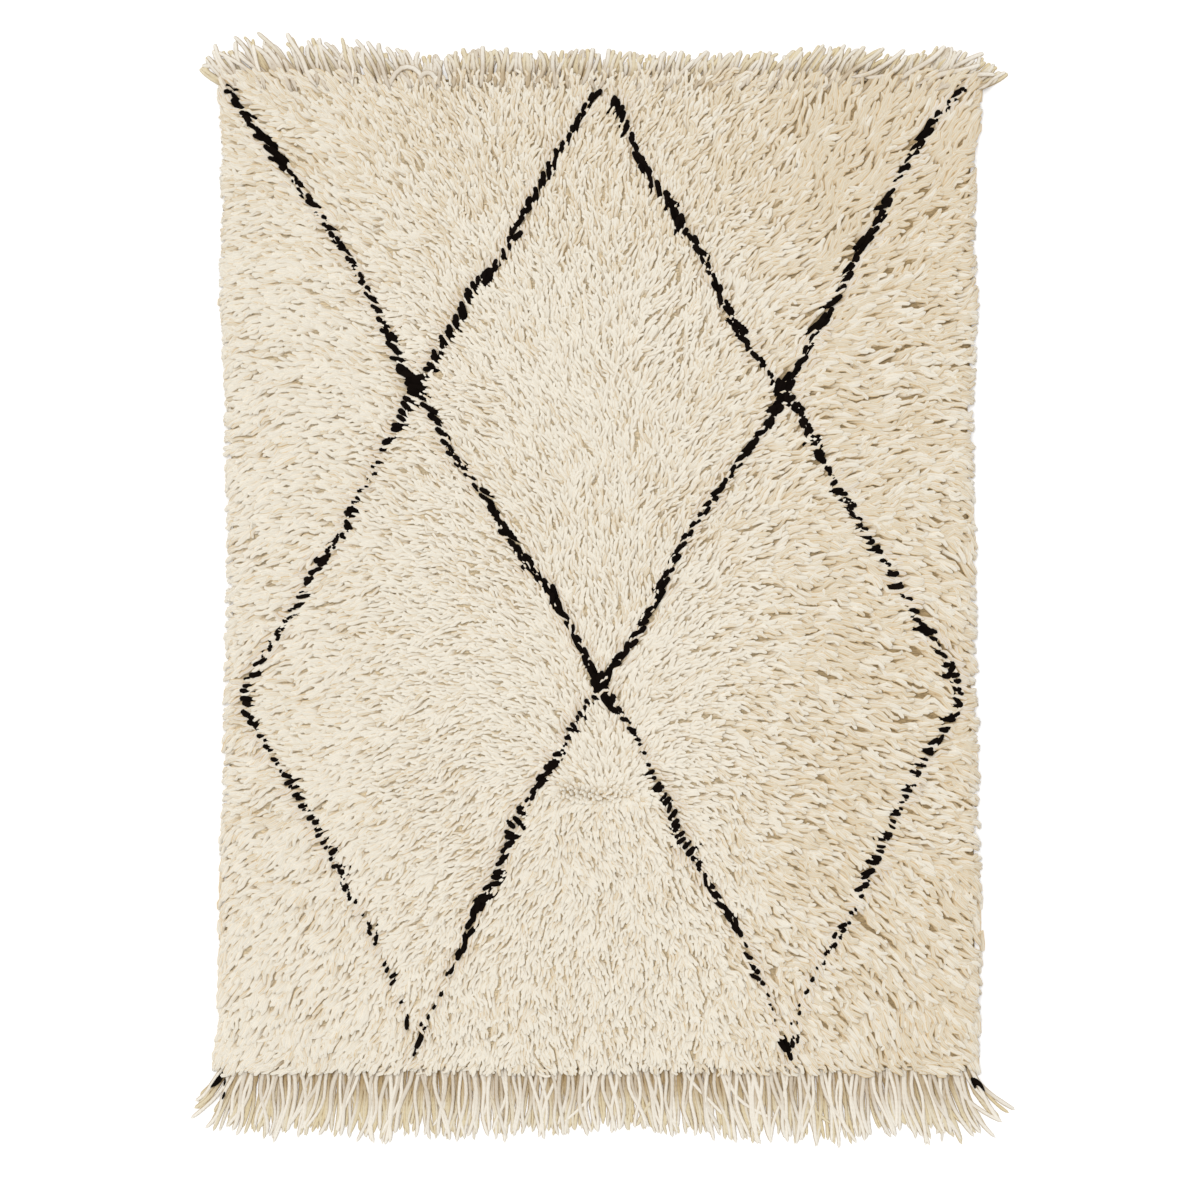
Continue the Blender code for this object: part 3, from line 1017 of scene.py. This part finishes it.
def layered(layers, left, right, pick):
    """The yarns of a fringe, spread evenly in each layer: the rows of their layers, and where they start."""
    rows = np.repeat(np.array(layers), [row[0] for row in layers], axis=0)
    order = np.concatenate([np.arange(row[0]) / row[0] for row in layers])
    return rows, left + (right - left) * (order + pick.uniform(0.2, 0.8, len(rows)) / rows[:, 0])


def tufts_of(x, pitch, seed):
    """The number of the tuft that each yarn of a fringe falls into, and how far off the tuft's middle is."""
    tuft = np.floor((x + 1.0) / pitch + 0.9 * soft_noise(x, x * 0.0, 2.0 * pitch, seed)).astype(int)
    middles = np.bincount(tuft, x) / np.maximum(np.bincount(tuft), 1)
    return tuft, middles[tuft] - x


def swayed(sway, share, pick):
    """How far each yarn sways to the side at these shares of its length, and the phase of its sway."""
    phase = pick.uniform(0.0, 6.3, len(sway))[:, None]
    pace = pick.uniform(4.0, 8.0, len(sway))[:, None]
    return sway[:, None] * np.sin(share * pace + phase), phase


def long_fringe_yarns(sizes):
    """Everything that tubes() needs for the long fringe: loose layers of yarn that lie on the floor, drawn
    together in tufts towards their tips. The yarns on top are painted lighter, and those under them darker as
    painted shade, and the top ones cross the others."""
    pick = np.random.default_rng(43)
    end_inset, hidden, tuft_pitch = 0.014, 0.018, 0.018
    left = along(SIDES, NEAR_EDGE, 1) + end_inset
    right = along(SIDES, NEAR_EDGE, 2) - end_inset
    rows, x = layered(LONG_LAYERS, left, right, pick)
    _, wide, root_height, wander, sway, length_share, light = rows.T
    count = len(rows)
    tuft, inward = tufts_of(x, tuft_pitch, 42)
    per_tuft = pick.normal(0.0, 1.0, tuft.max() + 1)[tuft]
    length = along(LONG_FRINGE, x, 1) * length_share * (1.07 - np.abs(pick.normal(0.0, 0.12, count)))
    length *= 1.0 + 0.035 * per_tuft
    wander = wander * pick.normal(0.0, 1.0, count) * np.where(pick.random(count) < 0.12, 2.6, 1.0)
    lean = np.radians(along(LONG_FRINGE, x, 2) + 6.0 * soft_noise(x, x * 0.0, 0.05, 45) + wander)
    pull = inward * pick.uniform(-0.1, 0.6, count) * np.where(light < 0.3, 0.3, 0.7)

    share = np.array(LONG_RINGS)
    out = share * (length + hidden)[:, None]
    turned = lean[:, None] * (0.45 + 0.55 * share)
    sideways, phase = swayed(sway, share, pick)
    out_x = x[:, None] + out * np.sin(turned) + pull[:, None] * between(share, 0.3, 0.9) + sideways
    out_y = NEAR_EDGE + hidden - out * np.cos(turned)
    lift = (root_height + pick.uniform(0.0, 0.0022, count))[:, None]
    high = 0.0004 + lift * (1.0 - 0.6 * smooth(share)) + 0.0006 * np.sin(phase + share * 9.0) ** 2
    half = sizes.fringe_yarn_width / 2 * wide * varied(pick, count, 0.09)
    lumps = 1.0 + 0.05 * np.sin(share[:-1] * 23.0 + phase)
    tone = np.clip(light + pick.normal(0.0, 0.12, count), 0.02, 0.98)
    half = half[:, None] * np.interp(share[:-1], *LONG_TAPER) * lumps
    return np.stack([out_x, out_y, high], -1), half, tone


def swept_paths():
    """Centre lines of the yarns that sweep over the pile's edge, each a smooth curve with two bends."""
    rows = np.array(SWEPT_YARNS)[:, None]
    share = np.array(SHORT_RINGS)[:, None]
    rest = 1.0 - share
    flat = rows[..., 0:2] * rest**3 + 3.0 * rows[..., 2:4] * rest**2 * share
    flat = flat + 3.0 * rows[..., 4:6] * rest * share**2 + rows[..., 6:8] * share**3
    high = rows[..., 8:9] * rest + rows[..., 9:10] * share + 0.005 * np.sin(np.pi * share)
    return np.concatenate([flat, high], -1)


def short_fringe_yarns(sizes):
    """Everything that tubes() needs for the short fringe: layers of curved yarns that come out from under the
    pile and end in a ragged line of round ends, and the few that sweep over the pile."""
    pick = np.random.default_rng(51)
    tuft_pitch, shortest = 0.015, 0.005
    rows, x = layered(SHORT_LAYERS, SHORT_FRINGE[0][0], SHORT_FRINGE[-1][0], pick)
    _, wide, root_height, wander, sway, length_share, light = rows.T
    count = len(rows)
    tuft, inward = tufts_of(x, tuft_pitch, 52)
    per_tuft = pick.normal(0.0, 1.0, (tuft.max() + 1, 2))[tuft]
    ragged = np.clip(0.60 + 0.08 * per_tuft[:, 0] + 0.54 * pick.random(count) ** 1.3, 0.4, 1.12)
    reach = np.maximum(along(SHORT_FRINGE, x, 1) * length_share * ragged, shortest)
    lean = 0.92 * along(SHORT_FRINGE, x, 2) + 5.0 * per_tuft[:, 1] + wander * pick.normal(0.0, 1.0, count)
    lean = np.radians(np.clip(lean, -74.0, 66.0))
    over = (pick.random(count) < 0.55) & (light > 0.2)
    hidden = 0.024 + over * pick.uniform(-0.008, 0.006, count)
    length = np.clip((reach + hidden) / np.cos(lean), 0.040, 0.115)
    pull = inward * pick.uniform(-0.3, 0.5, count)
    bend = np.radians(pick.normal(0.0, 34.0, count))

    # Each yarn is laid back from its tip to its root under the pile
    share = np.array(SHORT_RINGS)
    middle = (share[1:] + share[:-1]) / 2
    way = lean[:, None] * (1.02 - 0.16 * middle) + (pull / length)[:, None] + bend[:, None] * (middle - 0.5)
    step = length[:, None] * np.diff(share)
    back = np.stack([np.sin(way) * step, np.cos(way) * step], -1)
    back = np.cumsum(back[:, ::-1], 1)[:, ::-1]
    back = np.concatenate([back, np.zeros((count, 1, 2))], 1)
    flat = np.stack([x + pull, FAR_EDGE + reach], 1)[:, None] - back
    flat[..., 0] += swayed(sway, share, pick)[0]
    lift = (root_height * (1.0 + 0.8 * over) + pick.uniform(0.0, 0.0022, count))[:, None]
    high = 0.0006 + lift * (1.0 - 0.9 * smooth(share))
    path = np.concatenate([np.concatenate([flat, high[..., None]], -1), swept_paths()])

    # Yarns that lie over the others or sweep over the pile are painted lighter and the lower layers darker:
    # painted light and shade by layer
    over_tone, swept_tone, swept_width = 0.60, 0.82, 1.3
    swept = np.ones(len(SWEPT_YARNS))
    tone = np.where(over, over_tone, light) + pick.normal(0.0, 0.10, count)
    tone += 0.16 * between(-x, 0.1, 0.5)
    tone = np.clip(np.concatenate([tone, swept_tone * swept]), 0.02, 0.98)
    width = sizes.fringe_yarn_width * np.concatenate([wide, swept_width * swept])
    half = (width * varied(pick, len(path), 0.10))[:, None] / 2 * np.interp(share[:-1], *SHORT_TAPER)
    return path, half, tone


def short_fringe_loops(sizes):
    """Yarns folded back on themselves, which show as narrow loops in the line of tips."""
    pick = np.random.default_rng(57)
    count, rings = sizes.short_fringe_loops, 14
    x = pick.uniform(SHORT_FRINGE[1][0], SHORT_FRINGE[-2][0], count)
    lean = np.radians(along(SHORT_FRINGE, x, 2) + pick.normal(0.0, 7.0, count))[:, None]
    out = along(SHORT_FRINGE, x, 1) * pick.uniform(0.8, 1.0, count)
    share = np.linspace(0.0, 1.0, rings + 1)
    hidden = 0.022
    total = (out + hidden)[:, None]
    ahead = total * np.sin(np.pi * share) ** 0.45
    aside = pick.uniform(0.0035, 0.0065, count)[:, None] * -np.cos(np.pi * share)
    out_x = x[:, None] - np.tan(lean) * (total - ahead) + aside
    out_y = FAR_EDGE - hidden + ahead
    high = 0.0012 + 0.004 * (1.0 - ahead / total) + 0.001 * share
    half = sizes.fringe_yarn_width * 0.42 * np.ones((count, rings))
    tone = np.clip(0.6 + pick.normal(0.0, 0.15, count), 0.1, 0.95)
    return np.stack([out_x, out_y, high], -1), half, tone


def size_setting(name, description, default, least, most):
    """A length that a user can change."""
    return FloatProperty(
        name=name, description=description, default=default, min=least, max=most, unit="LENGTH"
    )


def colour_setting(name, description, default):
    """A colour that a user can change."""
    return FloatVectorProperty(
        name=name, description=description, default=default, size=3, min=0.0, max=1.0, subtype="COLOR"
    )


class PileSizes(bpy.types.PropertyGroup):
    strand_show: size_setting(
        "Strand Show", "Length of a strand that shows before the next one covers it", 0.0130, 0.005, 0.05
    )
    strand_spacing: size_setting(
        "Strand Spacing", "Distance between strands that lie side by side", 0.0031, 0.002, 0.02
    )
    strand_reach: size_setting("Strand Reach", "How far a strand lies over from its root", 0.044, 0.02, 0.08)
    strand_width: size_setting("Strand Width", "Width of a strand of pile", 0.0060, 0.002, 0.02)
    pile_rise: size_setting("Pile Rise", "Height of a strand's tip over the ground", 0.0200, 0.005, 0.03)
    packed_height: size_setting(
        "Packed Height", "Height of the packed lower half of the pile over the floor", 0.0162, 0.006, 0.03
    )
    lattice_step: size_setting(
        "Lattice Step", "Distance between black knots along a line of the lattice", 0.0125, 0.004, 0.03
    )


class FringeSizes(bpy.types.PropertyGroup):
    fringe_yarn_width: size_setting("Yarn Width", "Thickness of a fringe yarn", 0.0076, 0.002, 0.02)
    short_fringe_loops: IntProperty(
        name="Short Fringe Loops",
        description="Number of yarns in the short fringe that are folded into a loop",
        default=24,
        min=0,
        max=200,
    )


class WoolColours(bpy.types.PropertyGroup):
    cream: colour_setting("Cream", "Undyed wool of the pile", (0.850, 0.802, 0.698))
    grey_cream: colour_setting("Grey Cream", "Cream wool beside the black knots", (0.76, 0.71, 0.63))
    tan: colour_setting("Tan", "Shaded wool deep in the pile", (0.70, 0.52, 0.29))
    # The packed pile's colour is painted shade of the cream wool, low in the pile between the strands
    packed: colour_setting("Packed Pile", "Wool between the strands, low in the pile", (0.74, 0.61, 0.41))
    black: colour_setting("Black", "Dyed wool of the lattice", (0.0060, 0.0038, 0.0028))


class StageSizes(bpy.types.PropertyGroup):
    view_width: size_setting("View Width", "Width of the floor that the camera sees", 2.184, 0.5, 10.0)
    floor_width: size_setting("Floor Width", "Width of the pale floor", 60.0, 4.0, 200.0)
    lens: FloatProperty(
        name="Lens",
        description="Focal length in millimetres, long so that the rug is seen straight on",
        default=180.0,
        min=20.0,
        max=400.0,
    )


class WOOL_RUG_OT_pile(bpy.types.Operator):
    """Makes the cream pile as four joined pieces, one for each quarter of the rug"""

    bl_idname = "wool_rug.pile"
    bl_label = "Cream Pile"

    def execute(self, context):
        colours = context.scene.rug_colours
        material = wool_material(
            "cream_pile_wool",
            cream_tones(colours),
            scaled(colours.tan, 1.0),
            root_reach=0.48,
            edge=0.36,
            rim=0.17,
            spared=0.60,
            dull_edge=5.6,
            plies=0.17,
        )
        path, width, tone = cream_strands(context.scene.rug_pile)
        far = path[:, -1, 1] > MIDDLE_Y
        right = path[:, -1, 0] > 0.0
        quarters = {
            "pile_far_left": far & ~right,
            "pile_far_right": far & right,
            "pile_near_left": ~far & ~right,
            "pile_near_right": ~far & right,
        }
        for name, chosen in quarters.items():
            half, height = strand_sizes(width[chosen], 2, 0.60 + 0.36 * plumper(path[chosen, -1, :1]))
            mesh = tubes(name, path[chosen], half, height, STRAND_SECTION, tone[chosen])
            add_piece(context, name, mesh, material)
        return {"FINISHED"}


def within_outline(across, up, side_inset, end_inset):
    """Places inside the pile's outline, from shares of its width and its length, and its width there."""
    y = NEAR_EDGE + end_inset + up * (FAR_EDGE - NEAR_EDGE - 2 * end_inset)
    left, right = along(SIDES, y, 1) + side_inset, along(SIDES, y, 2) - side_inset
    return left + across * (right - left), y, right - left


class WOOL_RUG_OT_pile_base(bpy.types.Operator):
    """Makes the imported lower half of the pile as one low, closed pad under the strands"""

    bl_idname = "wool_rug.pile_base"
    bl_label = "Packed Pile"

    columns = 110
    rows = 150
    side_inset = 0.006
    end_inset = 0.010
    slack = -0.008  # how much later than the strands it bends over the edge

    def execute(self, context):
        scene = context.scene
        bm = bmesh.new()
        bmesh.ops.create_grid(bm, x_segments=self.columns, y_segments=self.rows, size=0.5)
        flat = np.array([vertex.co[:2] for vertex in bm.verts]) + 0.5
        x, y, _ = within_outline(flat[:, 0], flat[:, 1], self.side_inset, self.end_inset)
        z = scene.rug_pile.packed_height + 0.0014 * soft_noise(x, y, 0.022, 71)
        points = over_sides(np.stack([x, y, z], 1), self.slack, self.slack, self.slack)
        points[:, 2] = np.maximum(points[:, 2], GROUND_TOP + 0.0005)
        for vertex, point in zip(bm.verts, points):
            vertex.co = point
        bmesh.ops.holes_fill(bm, edges=bm.edges[:], sides=0)
        bmesh.ops.recalc_face_normals(bm, faces=bm.faces[:])
        mesh = bpy.data.meshes.new("pile_base")
        bm.to_mesh(mesh)
        bm.free()
        mesh.shade_smooth()
        add_piece(context, "pile_base", mesh, pile_base_material(scene.rug_colours))
        return {"FINISHED"}


def black_wool(colours):
    """The lattice's wool, which the corner tufts share."""
    black = colours.black
    tones = [(0.0, scaled(black, 0.6)), (1.0, scaled(black, 1.4))]
    return bpy.data.materials.get("black_pile_wool") or wool_material(
        "black_pile_wool",
        tones,
        scaled(black, 0.5),
        root_reach=0.4,
        edge=0.3,
        rim=0.2,
        gloss=0.03,
        sheen=0.0,
    )


class WOOL_RUG_OT_lattice(bpy.types.Operator):
    """Makes the black knots of the diamond lattice as one joined piece"""

    bl_idname = "wool_rug.lattice"
    bl_label = "Black Lattice"

    def execute(self, context):
        path, width, tone = black_strands(context.scene.rug_pile)
        half, height = strand_sizes(width, 3, 0.62)
        mesh = tubes("black_lattice", path, half, height, STRAND_SECTION, tone)
        add_piece(context, "black_lattice", mesh, black_wool(context.scene.rug_colours))
        return {"FINISHED"}


def fringe_wool(colours):
    """The wool that both fringes share, from the yarns underneath, painted tan and darker as shade, to the
    light ones on top.
    """
    light = scaled(colours.cream, (1.08, 1.08, 1.095))
    tones = [
        (0.0, scaled(colours.cream, (0.87, 0.785, 0.585))),
        (0.36, scaled(colours.cream, (0.91, 0.857, 0.72))),
        (0.62, scaled(light, 0.90)),
        (1.0, light),
    ]
    return bpy.data.materials.get("fringe_yarn_wool") or wool_material(
        "fringe_yarn_wool",
        tones,
        scaled(colours.tan, (0.50, 0.41, 0.25)),
        root_reach=0.62,
        edge=0.80,
        rim=0.14,
        spared=0.90,
        twist=0.35,
        bump=0.7,
    )


def add_fringe(context, name, yarns, node):
    """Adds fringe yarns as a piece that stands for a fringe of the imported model."""
    path, half, tone = yarns
    mesh = tubes(name, path, half, half * YARN_ROUNDNESS, YARN_SECTION, tone)
    add_piece(context, name, mesh, fringe_wool(context.scene.rug_colours), [node])


class WOOL_RUG_OT_short_fringe(bpy.types.Operator):
    """Makes the short fringe: cut ends as one joined piece, folded loops as another"""

    bl_idname = "wool_rug.short_fringe"
    bl_label = "Short Fringe"

    def execute(self, context):
        sizes = context.scene.rug_fringe
        add_fringe(context, "fringe_short_yarns", short_fringe_yarns(sizes), "fringe_short_end")
        add_fringe(context, "fringe_short_loops", short_fringe_loops(sizes), "fringe_short_end")
        return {"FINISHED"}


class WOOL_RUG_OT_long_fringe(bpy.types.Operator):
    """Makes the long fringe of layered yarns as one joined piece"""

    bl_idname = "wool_rug.long_fringe"
    bl_label = "Long Fringe"

    def execute(self, context):
        yarns = long_fringe_yarns(context.scene.rug_fringe)
        add_fringe(context, "fringe_long_yarns", yarns, "fringe_long_end")
        return {"FINISHED"}


# Corner tufts: the black strands at each lower corner, each from its root to its tip
CORNER_TUFTS = {
    "black_tuft_left": [
        # root x, root y, tip x, tip y, width
        (-0.6865, -0.8750, -0.7105, -0.9035, 0.0110),
        (-0.6840, -0.8870, -0.6865, -0.9010, 0.0040),
        (-0.6845, -0.9110, -0.6900, -0.9250, 0.0052),
    ],
    "black_tuft_right": [
        (0.6735, -0.8850, 0.6800, -0.9060, 0.0090),
        (0.6770, -0.8860, 0.6975, -0.9110, 0.0080),
        (0.6730, -0.8870, 0.6890, -0.9010, 0.0100),
    ],
}


TUFT_RINGS = [
    # share of the length, share of the width
    (0.00, 0.35),
    (0.20, 0.80),
    (0.45, 1.00),
    (0.70, 0.75),
    (0.90, 0.40),
    (1.00, 0.00),
]


def tuft_paths(strands):
    """Tapered strands that lie on the long fringe."""
    rows = np.array(strands)
    share, swell = np.array(TUFT_RINGS).T
    start, span = rows[:, None, :2], rows[:, None, 2:4] - rows[:, None, :2]
    bow = np.stack([-span[..., 1], span[..., 0]], -1) * 0.07
    flat = start + span * share[:, None] + bow * np.sin(np.pi * share)[:, None]
    high = 0.0105 + 0.0018 * np.sin(np.pi * share) + 0.0008 * np.arange(len(rows))[:, None]
    return np.concatenate([flat, high[..., None]], -1), rows[:, 4:5] / 2 * swell[:-1]


class WOOL_RUG_OT_corner_tufts(bpy.types.Operator):
    """Makes the tuft of black strands at each lower corner"""

    bl_idname = "wool_rug.corner_tufts"
    bl_label = "Corner Tufts"

    def execute(self, context):
        material = black_wool(context.scene.rug_colours)
        for node, strands in CORNER_TUFTS.items():
            path, half = tuft_paths(strands)
            tone = np.linspace(0.3, 0.7, len(path))
            name = node + "_strands"
            mesh = tubes(name, path, half, half * 0.7, YARN_SECTION, tone)
            add_piece(context, name, mesh, material, [node])
        return {"FINISHED"}


def pile_base_material(colours):
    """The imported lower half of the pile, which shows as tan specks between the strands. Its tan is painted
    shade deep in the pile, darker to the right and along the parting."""
    material, shader = new_material("packed_pile_wool", 0.1)
    place = add_node(shader, "TexCoord", "Object", (-1000, 0))
    drawn = add_vector_sum(shader, "MULTIPLY", (-900, 0), place, (0.55, 1.5, 1.0))
    noise_inputs = {"Vector": drawn, "Scale": 260.0, "Detail": 4.0}
    wool = add_node(shader, "TexNoise", "Fac", (-700, 0), noise_inputs)
    shades = ((0.36, 0.66), (0.50, 0.92), (0.66, 1.16))
    tans = [(spot, scaled(colours.packed, factor)) for spot, factor in shades]
    shade = add_ramp(shader, (-560, 120), wool, tans)

    # Painted shade: darker to the right, where the gaps between the strands look darker
    right = add_node(shader, "SeparateXYZ", "X", (-800, 260), {"Vector": place})
    shade_to_right = add_soft_span(shader, (-560, 340), right, 0.0, 1.0, 0.0, 0.5)
    right_shade_tint = (0.58, 0.51, 0.41, 1.0)
    right_shaded = add_mix(shader, (-300, 200), shade_to_right, shade, right_shade_tint, blend_type="MULTIPLY")

    # Painted shade in the groove along the parting
    line = np.array(PARTING)
    middle, half = line.mean(axis=0), np.ptp(line, axis=0) / 2
    spread = (1.0 / (half[0] + 0.010), 1.0 / (half[1] + 0.008), 0.0)
    from_line = add_vector_sum(shader, "SUBTRACT", (-800, 480), place, (middle[0], middle[1], 0.0))
    shares = add_vector_sum(shader, "MULTIPLY", (-640, 480), from_line, spread)
    far = add_vector_sum(shader, "LENGTH", (-480, 480), shares, output="Value")
    parted = add_soft_span(shader, (-320, 480), far, 0.0, 1.0, 1.3, 0.8)
    parting_shade_tint = (0.74, 0.67, 0.55, 1.0)
    shaded = add_mix(shader, (-140, 260), parted, right_shaded, parting_shade_tint, blend_type="MULTIPLY")
    rough = add_span(shader, (-560, -120), wool, 1.0, 0.88)
    add_surface(shader, shaded, rough, wool, 0.7, 0.003)
    return material


def woven_material(colour):
    """Plain weave: rows of weft that bulge over and under the warps, painted darker where the threads dip, as
    shade between them.
    """
    material, shader = new_material("woven_ground_wool", 0.15)
    place = add_node(shader, "TexCoord", "Object", (-1200, 0))
    weft, warp = (
        add_node(
            shader,
            "TexWave",
            "Fac",
            (-900, height),
            {"Vector": place, "Scale": scale, "Distortion": distortion},
            bands_direction=direction,
        )
        for height, direction, scale, distortion in ((120, "Y", 100.0, 1.5), (-180, "X", 60.0, 1.0))
    )
    cloth = add_sum(shader, "MULTIPLY", (-660, 0), weft, warp)
    # Painted shade: the weave is darker where its threads dip
    shade = add_ramp(shader, (-440, 120), cloth, [(0.0, scaled(colour, 0.55)), (1.0, scaled(colour, 1.05))])
    rough = add_span(shader, (-440, -100), cloth, 1.0, 0.85)
    add_surface(shader, shade, rough, cloth, 0.8, 0.0015)
    return material


class WOOL_RUG_OT_ground(bpy.types.Operator):
    bl_idname = "wool_rug.ground"
    bl_label = "Woven Ground"

    columns = 56
    rows = 74
    side_inset = 0.011
    end_inset = 0.006

    def execute(self, context):
        across, up = np.meshgrid(np.linspace(0, 1, self.columns + 1), np.linspace(0, 1, self.rows + 1))
        x, y, widths = within_outline(across, up, self.side_inset, self.end_inset)
        z = GROUND_TOP + 0.0003 * soft_noise(x, y, 0.05, 61)
        points = np.stack([x, y, z], -1).reshape(-1, 3)
        mesh = bpy.data.meshes.new("woven_ground")
        wide = self.columns + 1
        faces = [
            (r * wide + c, r * wide + c + 1, (r + 1) * wide + c + 1, (r + 1) * wide + c)
            for r in range(self.rows)
            for c in range(self.columns)
        ]
        mesh.from_pydata(points.tolist(), [], faces)
        mesh.shade_smooth()
        material = woven_material(context.scene.rug_colours.tan)
        cloth = add_piece(context, "woven_ground", mesh, material, ["rug_body"])
        thickness = cloth.modifiers.new("cloth_thickness", "SOLIDIFY")
        thickness.thickness = GROUND_TOP - 0.0005
        thickness.offset = -1.0
        return {"FINISHED"}


def add_floor(scene, width):
    """A pale floor that fills every view."""
    half = width / 2
    mesh = bpy.data.meshes.new("floor")
    corners = [(-half, -half, 0.0), (half, -half, 0.0), (half, half, 0.0), (-half, half, 0.0)]
    mesh.from_pydata(corners, [], [(0, 1, 2, 3)])
    floor = bpy.data.objects.new("floor", mesh)
    scene.collection.objects.link(floor)
    paper, shader = new_material("pale_floor", 0.1)
    feed(shader, {"Base Color": (0.93, 0.93, 0.93, 1.0), "Roughness": 0.9})
    feed(shader, {"Emission Color": WHITE, "Emission Strength": 0.16})
    mesh.materials.append(paper)


def add_light(scene):
    """White surroundings and one soft lamp, high up at the far left."""
    world = bpy.data.worlds.new("studio")
    world.use_nodes = True
    feed(world.node_tree.nodes["Background"], {"Color": WHITE, "Strength": 0.62})
    scene.world = world
    sun = bpy.data.lights.new("soft_key", "SUN")
    sun.energy = 1.5
    sun.angle = math.radians(30.0)
    key = bpy.data.objects.new("soft_key", sun)
    key.rotation_euler = Vector(WAY_TO_LIGHT).to_track_quat("Z", "Y").to_euler()
    scene.collection.objects.link(key)


def add_camera(scene, view_width, lens):
    """A camera straight above the rug, as high as its lens needs to see this width of floor."""
    camera_data = bpy.data.cameras.new("camera")
    camera_data.sensor_width = 36.0
    camera_data.lens = lens
    camera_data.clip_end = 200.0
    camera = bpy.data.objects.new("camera", camera_data)
    camera.location = (CAMERA_X, CAMERA_Y, view_width * lens / camera_data.sensor_width)
    scene.collection.objects.link(camera)
    scene.camera = camera
    scene.view_settings.view_transform = "Standard"


class WOOL_RUG_OT_stage(bpy.types.Operator):
    """Makes the pale floor, the soft light and the camera straight above the rug"""

    bl_idname = "wool_rug.stage"
    bl_label = "Stage"

    def execute(self, context):
        sizes = context.scene.rug_stage
        add_floor(context.scene, sizes.floor_width)
        add_light(context.scene)
        add_camera(context.scene, sizes.view_width, sizes.lens)
        return {"FINISHED"}


class WOOL_RUG_PT_panel(bpy.types.Panel):
    """Lists the rug's pieces in the order they are made"""

    bl_label = "Wool Rug"
    bl_idname = "WOOL_RUG_PT_panel"
    bl_space_type = "VIEW_3D"
    bl_region_type = "UI"
    bl_category = "Wool Rug"

    def draw(self, context):
        layout = self.layout
        for group in ("rug_pile", "rug_fringe", "rug_colours", "rug_stage"):
            settings = getattr(context.scene, group)
            box = layout.box()
            for name in settings.bl_rna.properties.keys():
                if name not in ("rna_type", "name"):
                    box.prop(settings, name)
        for operator in OPERATORS:
            layout.operator(operator.bl_idname)


OPERATORS = (
    WOOL_RUG_OT_pile,
    WOOL_RUG_OT_pile_base,
    WOOL_RUG_OT_lattice,
    WOOL_RUG_OT_short_fringe,
    WOOL_RUG_OT_long_fringe,
    WOOL_RUG_OT_corner_tufts,
    WOOL_RUG_OT_ground,
    WOOL_RUG_OT_stage,
)
SETTINGS = {
    "rug_pile": PileSizes,
    "rug_fringe": FringeSizes,
    "rug_colours": WoolColours,
    "rug_stage": StageSizes,
}


def register():
    for group in SETTINGS.values():
        bpy.utils.register_class(group)
    for name, group in SETTINGS.items():
        setattr(bpy.types.Scene, name, PointerProperty(type=group))
    for operator in OPERATORS:
        bpy.utils.register_class(operator)
    bpy.utils.register_class(WOOL_RUG_PT_panel)


def unregister():
    bpy.utils.unregister_class(WOOL_RUG_PT_panel)
    for operator in reversed(OPERATORS):
        bpy.utils.unregister_class(operator)
    for name in SETTINGS:
        delattr(bpy.types.Scene, name)
    for group in reversed(list(SETTINGS.values())):
        bpy.utils.unregister_class(group)


def main():
    register()
    bpy.ops.wool_rug.pile()
    bpy.ops.wool_rug.pile_base()
    bpy.ops.wool_rug.lattice()
    bpy.ops.wool_rug.short_fringe()
    bpy.ops.wool_rug.long_fringe()
    bpy.ops.wool_rug.corner_tufts()
    bpy.ops.wool_rug.ground()
    bpy.ops.wool_rug.stage()


if __name__ == "__main__":
    main()
